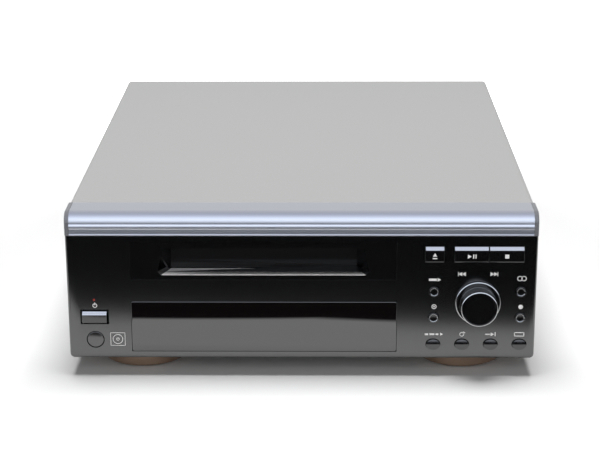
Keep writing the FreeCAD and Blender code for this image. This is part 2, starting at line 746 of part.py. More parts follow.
def slot_door():
    half = THROAT_W / 2 + DOOR_LAP
    front = THROAT_BACK + DOOR_GAP
    foot = BASE + THROAT_FLOOR_Z - DOOR_LAP / 2
    plate = box(MECH_X - half, MECH_X + half, front, front + DOOR_T, foot, HINGE_Z)
    web = box(MECH_X - half, MECH_X + half, front, HINGE_Y, HINGE_Z - DOOR_HINGE_R, HINGE_Z)
    coil_r = DOOR_HINGE_R + SPRING_FIT + SPRING_WIRE + SPRING_FIT
    coil_x = spring_start()
    notch = box(coil_x - SPRING_PITCH, coil_x + (SPRING_TURNS + 1) * SPRING_PITCH, front - 1, HINGE_Y + 1,
                HINGE_Z - coil_r, HINGE_Z + 1)
    plate = plate.fuse(web).cut(notch)
    reach = half + DOOR_GAP + DOOR_EAR_T
    pin = along_x(MECH_X - reach, MECH_X + reach, HINGE_Y, HINGE_Z, DOOR_HINGE_R)
    return join([plate, pin])


def spring_start():
    return MECH_X + THROAT_W / 4


def door_spring():
    """Closing coil round the hinge rod, in the door's notch."""
    radius = DOOR_HINGE_R + SPRING_FIT + SPRING_WIRE / 2
    height = SPRING_TURNS * SPRING_PITCH
    helix = Part.makeHelix(SPRING_PITCH, height, radius)
    helix.rotate(Vector(0, 0, 0), Vector(0, 1, 0), 90)
    helix.translate(Vector(spring_start(), HINGE_Y, HINGE_Z))
    begin = helix.Edges[0].valueAt(helix.Edges[0].FirstParameter)
    ring = Part.makeCircle(SPRING_WIRE / 2, begin, Vector(0, 1, 0))
    return Part.Wire(helix.Edges).makePipeShell([Part.Wire([ring])], True, True)


def display_window():
    return rounded_block(MECH_X, FACE, FACE + WINDOW_T, BASE + WINDOW_Z, WINDOW_W, WINDOW_H, WINDOW_CORNER_R)


def display_tube():
    width = WINDOW_W - 2 * TUBE_MARGIN_X
    height = WINDOW_H - 2 * TUBE_MARGIN_Z
    return block(MECH_X, PANEL_BACK + TUBE_FRONT_GAP, BOARD_FRONT, BASE + WINDOW_Z, width, height)


def standby_lamp():
    z = BASE + LAMP_Z
    pipe = along_y(FACE, BOARD_FRONT - LAMP_BODY_L, POWER_X, z, LAMP_R)
    return join([pipe, along_y(BOARD_FRONT - LAMP_BODY_L, BOARD_FRONT, POWER_X, z, LAMP_BODY_R)])


def remote_window():
    return along_y(FACE, FACE + REMOTE_T, POWER_X, BASE + REMOTE_Z, REMOTE_R)


# Buttons: a cap in its hole, a flange behind the wall and a stem to the switch
def round_button_places():
    return [(x, BASE + z) for z in (ROUND_UPPER_Z, ROUND_LOWER_Z) for x in (FACE_COLUMN, RIGHT_COLUMN)]


def oval_button_places():
    return [FACE_COLUMN + i * COLUMN_PITCH for i in range(4)]


def flange_planes():
    front = PANEL_BACK + FLANGE_FIT
    return front, front + BUTTON_FLANGE_T


def stem(x, z):
    tip = BOARD_FRONT - SWITCH_T - PLUNGER_T - BUTTON_TRAVEL - SWITCH_GAP
    return along_y(flange_planes()[1], tip, x, z, STEM_R)


def bar_button(x, z, width, height):
    front = FACE - RECT_PROUD
    back, flange_back = flange_planes()
    low = z - height / 2
    high = z + height / 2
    section = [(x - width / 2, back, low), (x - width / 2, front + RECT_FOOT_BEVEL, low),
               (x - width / 2, front, low + RECT_FOOT_BEVEL), (x - width / 2, front, high - RECT_TOP_BEVEL),
               (x - width / 2, front + RECT_TOP_BEVEL, high), (x - width / 2, back, high)]
    cap = prism(section, (width, 0, 0))
    flange = block(x, back, flange_back, z, width, height + 2 * BUTTON_FLANGE)
    return join([cap, flange, stem(x, z)])


def round_button(x, z):
    back, flange_back = flange_planes()
    cap = along_y(FACE - ROUND_PROUD, back, x, z, ROUND_CAP_R)
    front = Vector(x, FACE - ROUND_PROUD, z)
    rim = [edge for edge in cap.Edges if edge.CenterOfMass.distanceToPoint(front) < 0.01]
    cap = cap.makeFillet(ROUND_CAP_EDGE, rim)
    flange = along_y(back, flange_back, x, z, ROUND_CAP_R + BUTTON_FLANGE)
    return join([cap, flange, stem(x, z)])


def oval_button(x, z):
    back, flange_back = flange_planes()
    cap = oval(FACE - OVAL_PROUD, back, x, z, OVAL_CAP_W, OVAL_CAP_H)
    front = Vector(x, FACE - OVAL_PROUD, z)
    rim = [edge for edge in cap.Edges if edge.CenterOfMass.distanceToPoint(front) < 0.01]
    cap = cap.makeFillet(OVAL_CAP_EDGE, rim)
    reach = 2 * BUTTON_FLANGE
    flange = oval(back, flange_back, x, z, OVAL_CAP_W + reach, OVAL_CAP_H + reach)
    return join([cap, flange, stem(x, z)])


def button_places():
    """Every button's name and centre on the face, for the caps and the switches behind them."""
    places = {
        "power_button": (POWER_X, BASE + POWER_Z),
        "eject_button": (EJECT_X, BASE + TRANSPORT_Z),
        "play_pause_button": (PLAY_X, BASE + TRANSPORT_Z),
        "stop_button": (STOP_X, BASE + TRANSPORT_Z),
    }
    places.update(zip(("edit_button", "sync_button", "set_button", "record_button"), round_button_places()))
    for name, x in zip(("scroll_button", "repeat_button", "input_button", "display_button"),
                       oval_button_places()):
        places[name] = (x, BASE + OVAL_Z)
    return places


def save_buttons():
    places = button_places()
    sizes = {
        "power_button": (POWER_W, POWER_CAP_H),
        "eject_button": (EJECT_W, TRANSPORT_CAP_H),
        "play_pause_button": (PLAY_W, TRANSPORT_CAP_H),
        "stop_button": (STOP_W, TRANSPORT_CAP_H),
    }
    for name, size in sizes.items():
        save(name, bar_button(*places[name], *size))
    for name in ("edit_button", "sync_button", "set_button", "record_button"):
        save(name, round_button(*places[name]))
    for name in ("scroll_button", "repeat_button", "input_button", "display_button"):
        save(name, oval_button(*places[name]))


def tact_switches():
    made = []
    body_front = BOARD_FRONT - SWITCH_T
    for x, z in button_places().values():
        body = block(x, body_front, BOARD_FRONT, z, SWITCH_W, SWITCH_W)
        plunger = along_y(body_front - PLUNGER_T, body_front, x, z, PLUNGER_R)
        made.append(join([body, plunger]))
    return made


def front_board():
    """One board behind the whole panel, stepped down where the slot and its door are."""
    half = BODY_W / 2 - PANEL_WALL - FRONT_BOARD_MARGIN
    low = BASE + PANEL_WALL + FRONT_BOARD_MARGIN / 3
    high = PANEL_TOP - PANEL_WALL - FRONT_BOARD_MARGIN / 3
    step_x = MECH_X + BEZEL_W / 2 + FRONT_BOARD_MARGIN
    back = BOARD_FRONT + BOARD_T
    lower = box(-half, half, BOARD_FRONT, back, low, BASE + FRONT_BOARD_STEP_Z)
    return join([lower, box(step_x, half, BOARD_FRONT, back, low, high)])


# Jog knob: skirt, tapered body with a bright rim and a dished front, on the encoder's shaft
def jog_knob():
    z = BASE + KNOB_Z
    front = FACE - KNOB_PROUD
    skirt_front = FACE - KNOB_LIFT - KNOB_FLANGE_T
    skirt = along_y(skirt_front, FACE - KNOB_LIFT, KNOB_X, z, KNOB_FLANGE_R)
    rim = KNOB_FRONT_R - KNOB_RIM
    body = Part.makeCone(KNOB_R, KNOB_FRONT_R, KNOB_PROUD - KNOB_LIFT - KNOB_FLANGE_T - KNOB_RIM,
                         Vector(KNOB_X, skirt_front, z), Vector(0, -1, 0))
    ahead = Vector(0, -1, 0)
    chamfer = Part.makeCone(KNOB_FRONT_R, rim, KNOB_RIM, Vector(KNOB_X, front + KNOB_RIM, z), ahead)
    dish = Part.makeCone(rim - KNOB_RIM / 2, rim - KNOB_RIM, KNOB_DISH, Vector(KNOB_X, front, z), ahead * -1)
    socket = along_y(FACE - KNOB_LIFT - KNOB_SOCKET_DEPTH, FACE, KNOB_X, z, SHAFT_R)
    return join([skirt, body, chamfer]).cut(dish).cut(socket)


def encoder_shaft():
    back = BOARD_FRONT - SHAFT_R
    return along_y(FACE - KNOB_LIFT - KNOB_SOCKET_DEPTH, back, KNOB_X, BASE + KNOB_Z, SHAFT_R)


def rotary_encoder():
    z = BASE + KNOB_Z
    front = BOARD_FRONT - ENCODER_T
    body = block(KNOB_X, front, BOARD_FRONT, z, ENCODER_W, ENCODER_W)
    bush = along_y(FACE + PANEL_WALL / 2, front, KNOB_X, z, SHAFT_R + BUSH_WALL)
    bore = along_y(FACE, BOARD_FRONT - SHAFT_R + SHAFT_FIT * 4, KNOB_X, z, SHAFT_R + SHAFT_FIT)
    return join([body, bush]).cut(bore)


# Gears of the loading train
def involute(angle):
    return math.tan(angle) - angle


def gear(teeth, bore, first_tooth):
    """A spur gear standing on z = 0 at the origin, with one tooth centred at first_tooth degrees."""
    pitch_r = MODULE * teeth / 2
    base_r = pitch_r * math.cos(math.radians(PRESSURE_DEG))
    tip_r = pitch_r + TOOTH_HEAD * MODULE
    root_r = pitch_r - TOOTH_ROOT * MODULE
    half_tooth = (math.pi * MODULE / 2 - TOOTH_PLAY) / (2 * pitch_r)
    start_r = max(base_r, root_r)
    flank = []
    for step in range(FLANK_STEPS + 1):
        r = start_r + (tip_r - start_r) * step / FLANK_STEPS
        turn = involute(math.radians(PRESSURE_DEG)) - involute(math.acos(min(1.0, base_r / r)))
        flank.append((r, half_tooth + turn))
    flank.insert(0, (root_r, flank[0][1]))
    points = []
    for i in range(teeth):
        middle = math.radians(first_tooth) + 2 * math.pi * i / teeth
        for r, turn in flank:
            points.append((r * math.cos(middle - turn), r * math.sin(middle - turn), 0))
        for r, turn in reversed(flank):
            points.append((r * math.cos(middle + turn), r * math.sin(middle + turn), 0))
    return prism(points, (0, 0, GEAR_T)).cut(along_z(-1, GEAR_T + 1, 0, 0, bore))


def loading_gear():
    wheel = gear(GEAR_TEETH, PIN_R + SHAFT_FIT, math.degrees(math.pi))
    wheel.translate(Vector(GEAR_X, GEAR_Y, GEAR_Z))
    return wheel


def loading_pinion():
    half_turn = math.degrees(math.pi)
    wheel = gear(PINION_TEETH, MOTOR_SHAFT_R / 2, half_turn + half_turn / PINION_TEETH)
    wheel.translate(Vector(PINION_X, GEAR_Y, GEAR_Z))
    shaft = along_z(BASE_PLATE_Z - LOADING_MOTOR_H / 2, GEAR_Z + GEAR_T, PINION_X, GEAR_Y, MOTOR_SHAFT_R)
    return join([wheel, shaft])


def loading_motor():
    low = BASE_PLATE_Z - LOADING_MOTOR_H
    body = along_z(low, BASE_PLATE_Z, PINION_X, GEAR_Y, LOADING_MOTOR_R)
    bore = along_z(BASE_PLATE_Z - LOADING_MOTOR_H / 2 - SPINDLE_GAP, BASE_PLATE_Z + 1, PINION_X, GEAR_Y,
                   MOTOR_SHAFT_R + SHAFT_FIT)
    return body.cut(bore)


def cam_slider():
    """Two plates with sloping slots beside the holder, a bar behind it and a rack outside the wall."""
    front = HOLDER_FRONT + CAM_FRONT_GAP
    bar_y0 = HOLDER_REAR + CAM_BAR_GAP
    bar_y1 = bar_y0 + RACK_BAR_W
    top = CAM_Z + CAM_H
    plates = []
    for side in (-1, 1):
        inner = MECH_X + side * CAM_X
        outer = inner + side * CAM_T
        x0, x1 = min(inner, outer), max(inner, outer)
        plate = box(x0, x1, front, bar_y1, CAM_Z, top)
        for y in PINS_Y:
            plate = plate.cut(cam_slot(y, x0 - 1, x1 + 1))
        plates.append(plate)
    rack_x0 = RACK_PITCH_X - RACK_BAR_W
    left = MECH_X - CAM_X - CAM_T
    low = GEAR_Z
    high = GEAR_Z + GEAR_T
    bar = box(left, RACK_PITCH_X - MODULE, bar_y0, bar_y1, low, high)
    arm_y0 = GEAR_Y - CAM_TRAVEL - 9 * MODULE
    arm = box(rack_x0 - MODULE, RACK_PITCH_X - TOOTH_ROOT * MODULE, arm_y0, bar_y1, low, high)
    return join(plates + [bar, arm, rack_teeth(low)])


def cam_slot(y, x0, x1):
    """The pin's path in the slider: level ends left out, one straight slope."""
    radius = PIN_R + PIN_FIT
    run = math.hypot(CAM_TRAVEL, HOLDER_DROP)
    slope = math.degrees(math.atan2(HOLDER_DROP, CAM_TRAVEL))
    middle = box(x0, x1, -run, 0, -radius, radius)
    ends = [along_x(x0, x1, 0, 0, radius), along_x(x0, x1, -run, 0, radius)]
    slot = join([middle] + ends)
    slot.rotate(Vector(0, 0, 0), Vector(1, 0, 0), slope)
    slot.translate(Vector(0, y, PIN_Z))
    return slot


def rack_teeth(low):
    pitch = math.pi * MODULE
    lean = math.tan(math.radians(PRESSURE_DEG))
    tip = RACK_PITCH_X + TOOTH_HEAD * MODULE
    root = RACK_PITCH_X - RACK_ROOT * MODULE
    half = (pitch / 2 - TOOTH_PLAY) / 2
    count = int((CAM_TRAVEL + 4 * MODULE) / pitch) + 1
    teeth = []
    for i in range(-count, 2):
        y = GEAR_Y + (i + 0.5) * pitch
        spread = half + (RACK_PITCH_X - root) * lean
        point = half - (tip - RACK_PITCH_X) * lean
        corners = [(root, y - spread, low), (tip, y - point, low), (tip, y + point, low),
                   (root, y + spread, low)]
        teeth.append(prism(corners, (0, 0, GEAR_T)))
    return join(teeth) if len(teeth) > 1 else teeth[0]


def cartridge_holder():
    """An open channel for the disc's case: roof, sides and inward lips, with pins at its sides."""
    half = HOLDER_HALF
    sheet = HOLDER_SHEET
    low = HOLDER_Z
    high = HOLDER_Z + HOLDER_H
    body = box(MECH_X - half, MECH_X + half, HOLDER_FRONT, HOLDER_REAR, low, high)
    inside = box(MECH_X - half + sheet, MECH_X + half - sheet, HOLDER_FRONT - 1, HOLDER_REAR + 1, low + sheet,
                 high - sheet)
    mouth = half - sheet - HOLDER_LIP
    window = box(MECH_X - mouth, MECH_X + mouth, HOLDER_FRONT - 1, HOLDER_REAR + 1, low - 1, high - 2 * sheet)
    head = box(MECH_X, MECH_X + SLED_START + SLED_TRAVEL + ARM_W, DISC_Y - HEAD_SLOT_W / 2,
               DISC_Y + HEAD_SLOT_W / 2, high - 2 * sheet, high + 1)
    body = body.cut(inside).cut(window).cut(head)
    reach = WALL_X + WALL_T
    pins = []
    for y in PINS_Y:
        for side in (-1, 1):
            x0, x1 = sorted((MECH_X + side * (half - sheet / 2), MECH_X + side * reach))
            pins.append(along_x(x0, x1, y, PIN_Z, PIN_R))
    return join([body] + pins)


# Disc drive on its rubber-mounted base
def mechanism_bracket():
    half = BRACKET_W / 2
    y0 = HOLDER_FRONT
    y1 = MECH_REAR
    body = box(MECH_X - half, MECH_X + half, y0, y1, FLOOR, BRACKET_TOP)
    under = box(MECH_X - half + SHEET, MECH_X + half - SHEET, y0 - 1, y1 + 1, FLOOR - 1, BRACKET_TOP - SHEET)
    parts = [body.cut(under)]
    for side in (-1, 1):
        x0, x1 = sorted((MECH_X + side * (half - SHEET), MECH_X + side * (half + BRACKET_FOOT)))
        parts.append(box(x0, x1, y0, y1, FLOOR, FLOOR + SHEET))
    body = join(parts)
    for x, y in bracket_screw_places():
        body = body.cut(along_z(FLOOR - 1, FLOOR + SHEET + 1, x, y, SCREW_R))
    opening = SPINDLE_MOTOR_R + SPINDLE_OPENING
    return body.cut(along_z(BRACKET_TOP - SHEET - 1, BRACKET_TOP + 1, MECH_X, DISC_Y, opening))


def damper_places():
    reach = BRACKET_W / 2 - DAMPER_R - DAMPER_EDGE
    ends = (HOLDER_FRONT + DAMPER_R + DAMPER_EDGE, MECH_REAR - DAMPER_R - DAMPER_EDGE)
    return [(MECH_X + side * reach, y) for side in (-1, 1) for y in ends]


def mechanism_dampers():
    made = []
    for x, y in damper_places():
        body = along_z(BRACKET_TOP, BASE_PLATE_Z, x, y, DAMPER_R)
        middle = (BRACKET_TOP + BASE_PLATE_Z) / 2
        waist = Part.makeTorus(DAMPER_R + 0.6, DAMPER_WAIST_R, Vector(x, y, middle))
        made.append(body.cut(waist))
    return made


def mechanism_base():
    half = WALL_X + WALL_T
    y0 = HOLDER_FRONT
    y1 = MECH_REAR
    plate = box(MECH_X - half, MECH_X + half, y0, y1, BASE_PLATE_Z, BASE_PLATE_TOP)
    wing = box(MECH_X + half, PINION_X + LOADING_MOTOR_R, GEAR_Y - LOADING_MOTOR_R - 2,
               GEAR_Y + LOADING_MOTOR_R + 2, BASE_PLATE_Z, BASE_PLATE_TOP)
    post = along_z(BASE_PLATE_TOP, GEAR_Z, GEAR_X, GEAR_Y, PIN_R + AXLE_FOOT)
    axle = along_z(BASE_PLATE_TOP, GEAR_Z + GEAR_T + 0.5, GEAR_X, GEAR_Y, PIN_R)
    walls = []
    for side in (-1, 1):
        x0, x1 = sorted((MECH_X + side * WALL_X, MECH_X + side * half))
        wall = box(x0, x1, y0, HOLDER_REAR, BASE_PLATE_TOP, HOLDER_Z + HOLDER_H)
        for y in PINS_Y:
            slot_low = PIN_Z - HOLDER_DROP - PIN_R - PIN_FIT
            slot_high = PIN_Z + PIN_R + PIN_FIT
            width = PIN_R + PIN_FIT
            wall = wall.cut(box(x0 - 1, x1 + 1, y - width, y + width, slot_low, slot_high))
        walls.append(wall)
    rod_posts = []
    for y in rod_places():
        post_x = MECH_X + SLED_START - PICKUP_W / 2 - 1.0
        end = box(post_x - ROD_POST_HALF, post_x, y - ROD_POST_HALF, y + ROD_POST_HALF, BASE_PLATE_TOP,
                  ROD_Z + ROD_POST_HALF)
        rod_posts.append(end.cut(along_x(post_x - 3, post_x + 1, y, ROD_Z, SLED_ROD_R)))
    x0, x1 = sled_motor_span()
    cheek = SLED_MOTOR_R + 1.0
    seat = box(x0, x1, lead_screw_y() - cheek, lead_screw_y() + cheek, BASE_PLATE_TOP, ROD_Z - 1.0)
    body = join([plate, wing, post, axle, seat] + walls + rod_posts)
    body = body.cut(along_x(x0, x1, lead_screw_y(), ROD_Z, SLED_MOTOR_R))
    bore = MOTOR_SHAFT_R + 2.0
    return body.cut(along_z(BASE_PLATE_Z - 1, BASE_PLATE_TOP + 1, PINION_X, GEAR_Y, bore))


def rod_places():
    return [DISC_Y - SLED_ROD_SPAN / 2, DISC_Y + SLED_ROD_SPAN / 2]


def rod_span():
    return MECH_X + SLED_START - PICKUP_W / 2 - 3.5, MECH_X + WALL_X


def sled_rods():
    return [along_x(*rod_span(), y, ROD_Z, SLED_ROD_R) for y in rod_places()]


def lead_screw_y():
    return DISC_Y + LEAD_SCREW_Y


def sled_motor_span():
    end = MECH_X + SLED_START - PICKUP_W / 2 - 1.0
    return end - SLED_MOTOR_L, end


def sled_motor():
    x0, x1 = sled_motor_span()
    body = along_x(x0, x1, lead_screw_y(), ROD_Z, SLED_MOTOR_R)
    return body.cut(along_x(x1 - SLED_MOTOR_L / 2, x1 + 1, lead_screw_y(), ROD_Z, LEAD_SCREW_R + SHAFT_FIT))


def lead_screw():
    x1 = sled_motor_span()[1]
    return along_x(x1 - SLED_MOTOR_L / 2 + SPINDLE_GAP, rod_span()[1] - SPINDLE_GAP, lead_screw_y(), ROD_Z,
                   LEAD_SCREW_R)


def spindle_motor():
    body = along_z(BASE_PLATE_TOP, MOTOR_TOP, MECH_X, DISC_Y, SPINDLE_MOTOR_R)
    return body.cut(along_z(BASE_PLATE_TOP + 1, MOTOR_TOP + 1, MECH_X, DISC_Y, SPINDLE_R + SHAFT_FIT))


def turntable():
    disc = along_z(TURNTABLE_Z, TURNTABLE_Z + TURNTABLE_H, MECH_X, DISC_Y, TURNTABLE_R)
    top = Vector(MECH_X, DISC_Y, TURNTABLE_Z + TURNTABLE_H)
    hub = Part.makeCone(TURNTABLE_R / 2, TURNTABLE_R / 3, HUB_H, top)
    shaft = along_z(BASE_PLATE_TOP + 1.5, TURNTABLE_Z, MECH_X, DISC_Y, SPINDLE_R)
    return join([disc, hub, shaft])


def arm_post_y():
    return MECH_REAR - POST_T - POST_GAP


def arm_height():
    return HOLDER_Z + HOLDER_H + POST_RISE


def optical_pickup():
    """Sled with its lens, a nut on the lead screw, and the link that carries the recording head's arm."""
    x = MECH_X + SLED_START
    low = PICKUP_Z
    high = PICKUP_Z + PICKUP_H
    body = box(x - PICKUP_W / 2, x + PICKUP_W / 2, DISC_Y - PICKUP_D / 2, DISC_Y + PICKUP_D / 2, low, high)
    nut_y = lead_screw_y()
    nut = box(x - PICKUP_W / 4, x + PICKUP_W / 4, DISC_Y + PICKUP_D / 2, nut_y + 4, low, high)
    link_z = high - LINK_T
    post_y = arm_post_y()
    link = box(x - ARM_W / 2, x + ARM_W / 2, DISC_Y + PICKUP_D / 2, post_y + POST_T, link_z, high)
    post = box(x - ARM_W / 2, x + ARM_W / 2, post_y, post_y + POST_T, link_z, arm_height() + 1)
    post = post.cut(box(x - ARM_W / 4 - 0.2, x + ARM_W / 4 + 0.2, post_y - 1, post_y + POST_T + 1,
                        arm_height() - ARM_PIN_R - 1.0, arm_height() + 2))
    lens = along_z(high, high + LENS_H, x, DISC_Y, LENS_R)
    body = join([body, nut, link, post, lens])
    for y in rod_places():
        body = body.cut(along_x(x - PICKUP_W, x + PICKUP_W, y, ROD_Z, SLED_ROD_R + SHAFT_FIT))
    body = body.cut(along_x(x - PICKUP_W, x + PICKUP_W, nut_y, ROD_Z, LEAD_SCREW_R + SHAFT_FIT))
    pivot = along_x(x - ARM_W, x + ARM_W, post_y + POST_T / 2, arm_height(), ARM_PIN_R * 0.75 + SHAFT_FIT)
    return body.cut(pivot)


def head_arm():
    """Thin arm over the disc: it hinges on the sled's post and presses the recording head down."""
    x = MECH_X + SLED_START
    z = arm_height()
    pivot_y = arm_post_y() + POST_T / 2
    arm = box(x - ARM_W / 4, x + ARM_W / 4, DISC_Y - 2.0, pivot_y, z - ARM_T / 2, z + ARM_T / 2)
    pad_y0, pad_y1 = DISC_Y - ARM_PAD_HALF, DISC_Y + ARM_PAD_HALF
    pad = box(x - ARM_W / 4, x + ARM_W / 4, pad_y0, pad_y1, z - ARM_T / 2 - ARM_PAD_H, z)
    pin = along_x(x - ARM_W / 2 + 0.2, x + ARM_W / 2 - 0.2, pivot_y, z, ARM_PIN_R * 0.75)
    return join([arm, pad, pin])


# Main board, power supply and heat sink
def main_board():
    x0, x1, y0, y1 = main_board_area()
    z = FLOOR + BOARD_STANDOFF
    return box(x0, x1, y0, y1, z, z + BOARD_T)


def board_chips():
    x0, x1, y0, y1 = main_board_area()
    z = FLOOR + BOARD_STANDOFF + BOARD_T
    made = []
    for fx, fy, width in CHIPS:
        x = x0 + fx * (x1 - x0)
        y = y0 + fy * (y1 - y0)
        made.append(box(x - width / 2, x + width / 2, y - width / 2, y + width / 2, z, z + CHIP_T))
    return made


def board_capacitors():
    x0, x1, y0, y1 = main_board_area()
    z = FLOOR + BOARD_STANDOFF + BOARD_T
    made = []
    for i in range(CAPACITORS):
        x = x0 + CAPACITOR_GAP + CAPACITOR_R + i * (2 * CAPACITOR_R + CAPACITOR_GAP)
        made.append(along_z(z, z + CAPACITOR_H, x, y1 - 2 * CAPACITOR_R, CAPACITOR_R))
    return made


def heat_sink():
    x1 = main_board_area()[1] - HEAT_SINK_INSET_X
    y0 = main_board_area()[2] + HEAT_SINK_INSET_Y
    z = FLOOR + BOARD_STANDOFF + BOARD_T
    plate = box(x1 - HEAT_SINK_T, x1, y0, y0 + HEAT_SINK_L, z, z + HEAT_SINK_H)
    fins = []
    step = (HEAT_SINK_L - HEAT_SINK_T) / (HEAT_SINK_FINS - 1)
    for i in range(HEAT_SINK_FINS):
        y = y0 + i * step
        fins.append(box(x1, x1 + HEAT_SINK_FIN_L, y, y + HEAT_SINK_T, z, z + HEAT_SINK_H))
    return join([plate] + fins)


def transformer_place():
    x = -CHASSIS_X + SHEET + CORE_CLEAR + CORE_W / 2
    y = MECH_REAR + BOARD_GAP + CORE_D / 2 + WINDING_SWELL
    return x, y


def transformer_core():
    x, y = transformer_place()
    body = box(x - CORE_W / 2, x + CORE_W / 2, y - CORE_D / 2, y + CORE_D / 2, FLOOR, FLOOR + CORE_H)
    mid = CORE_LEG / 2
    for side in (-1, 1):
        x0, x1 = sorted((x + side * mid, x + side * (CORE_W / 2 - mid)))
        body = body.cut(box(x0, x1, y - CORE_D, y + CORE_D, FLOOR + mid, FLOOR + CORE_H - mid))
    return body


def transformer_winding():
    x, y = transformer_place()
    mid = CORE_LEG / 2
    reach = CORE_W / 2 - mid
    z0 = FLOOR + mid
    z1 = FLOOR + CORE_H - mid
    depth = CORE_D / 2 + WINDING_SWELL
    coil = box(x - reach, x + reach, y - depth, y + depth, z0, z1)
    coil = coil.makeFillet(WINDING_SWELL * 0.8, edges_by(coil, "z", lambda point: True))
    return coil.cut(box(x - mid, x + mid, y - CORE_D / 2, y + CORE_D / 2, z0 - 1, z1 + 1))


def power_board():
    x0 = -CHASSIS_X + SHEET + POWER_BOARD_EDGE
    x1 = main_board_area()[0] - POWER_BOARD_GAP
    y0 = transformer_place()[1] + CORE_D / 2 + WINDING_SWELL + POWER_BOARD_GAP
    y1 = REAR_INNER - SHEET - INLET_D - POWER_BOARD_REAR
    z = FLOOR + BOARD_STANDOFF
    board = box(x0, x1, y0, y1, z, z + BOARD_T)
    posts = []
    for x in (x0 + POWER_POST_INSET, x1 - POWER_POST_INSET):
        for y in (y0 + POWER_POST_INSET, y1 - POWER_POST_INSET):
            posts.append(along_z(FLOOR, z, x, y, POWER_POST_R))
    fuse_x = x0 + FUSE_INSET
    fuse_z = z + BOARD_T + FUSE_R * 0.9
    fuse = along_x(fuse_x, fuse_x + FUSE_L, y1 - FUSE_INSET, fuse_z, FUSE_R)
    return join([board, fuse] + posts)


# Rear connectors
def jack_places():
    half_x = JACK_PITCH_X / 2
    half_z = JACK_PITCH_Z / 2
    return [(JACK_X + i * half_x, BASE + JACK_Z + j * half_z) for j in (1, -1) for i in (-1, 1)]


def optical_places():
    return [OPTICAL_X - OPTICAL_PITCH / 2, OPTICAL_X + OPTICAL_PITCH / 2]


def jack_tip():
    return REAR + JACK_PROUD


def phono_jacks():
    """Moulded block on the board behind the panel with four plated barrels."""
    width = JACK_PITCH_X + 2 * JACK_BLOCK_MARGIN
    height = JACK_PITCH_Z + 2 * JACK_BLOCK_MARGIN
    body = block(JACK_X, REAR_INNER - JACK_BLOCK_D, REAR_INNER, BASE + JACK_Z, width, height)
    barrels = [along_y(REAR_INNER, jack_tip(), x, z, JACK_BARREL_R) for x, z in jack_places()]
    collar_r = JACK_BARREL_R + JACK_COLLAR
    collars = [along_y(REAR_INNER, REAR_FACE + JACK_COLLAR, x, z, collar_r) for x, z in jack_places()]
    shape = join([body] + barrels + collars)
    for x, z in jack_places():
        shape = shape.cut(along_y(REAR_FACE, jack_tip() + 1, x, z, JACK_INSERT_R))
    return shape


def phono_inserts():
    made = []
    for x, z in jack_places():
        ring = along_y(REAR_FACE, jack_tip() - 0.4, x, z, JACK_INSERT_R)
        made.append(ring.cut(along_y(REAR_FACE + 1.0, jack_tip() + 1, x, z, JACK_BORE_R)))
    return made


def optical_jacks():
    made = []
    z = BASE + JACK_Z
    tip = REAR_FACE + OPTICAL_PROUD
    for x in optical_places():
        body = block(x, REAR_INNER - OPTICAL_D, tip, z, OPTICAL_W, OPTICAL_H)
        socket = block(x, tip - OPTICAL_SOCKET_DEPTH, tip + 1, z, OPTICAL_SOCKET, OPTICAL_SOCKET)
        made.append(body.cut(socket))
    return made


def mains_inlet():
    """Two-lobed inlet for a detachable cord, with its flange outside the panel and two pins inside."""
    z = BASE + INLET_Z
    tip = REAR_FACE + INLET_FLANGE_T
    body = block(INLET_X, REAR_INNER - SHEET - INLET_D, REAR_FACE, z, INLET_W, INLET_H)
    width = INLET_W + 2 * INLET_FLANGE
    flange = rounded_block(INLET_X, REAR_FACE, tip, z, width, INLET_H + INLET_FLANGE, INLET_CORNER_R)
    shape = join([body, flange])
    half = INLET_LOBE_SPACING / 2
    y0 = tip - INLET_DEPTH
    lobes = [along_y(y0, tip + 1, INLET_X + side * half, z, INLET_LOBE_R) for side in (-1, 1)]
    bridge = block(INLET_X, y0, tip + 1, z, INLET_LOBE_SPACING, INLET_LOBE_R * 1.3)
    shape = shape.cut(join(lobes + [bridge]))
    pins = [along_y(y0 - 1, y0 + INLET_PIN_L, INLET_X + side * half, z, INLET_PIN_R) for side in (-1, 1)]
    return join([shape] + pins)


# Feet
def feet():
    made = []
    for x, y in foot_places():
        body = along_z(PAD_PROUD, BASE, x, y, FOOT_R)
        foot = Vector(x, y, PAD_PROUD)
        rim = [edge for edge in body.Edges if edge.CenterOfMass.distanceToPoint(foot) < 0.01]
        body = body.makeFillet(PAD_PROUD, rim)
        pad = along_z(0, PAD_T, x, y, FOOT_R - PAD_INSET)
        core = along_z(0, PAD_T, x, y, FOOT_WELL_R)
        body = body.cut(pad.cut(core)).cut(along_z(0, FOOT_SEAT, x, y, FOOT_WELL_R - 1.0))
        made.append(body.cut(along_z(0, BASE + 1, x, y, SCREW_HOLE_R)))
    return made


def foot_pads():
    made = []
    for x, y in foot_places():
        pad = along_z(0, PAD_T, x, y, FOOT_R - PAD_INSET)
        made.append(pad.cut(along_z(-1, PAD_T + 1, x, y, FOOT_WELL_R)))
    return made


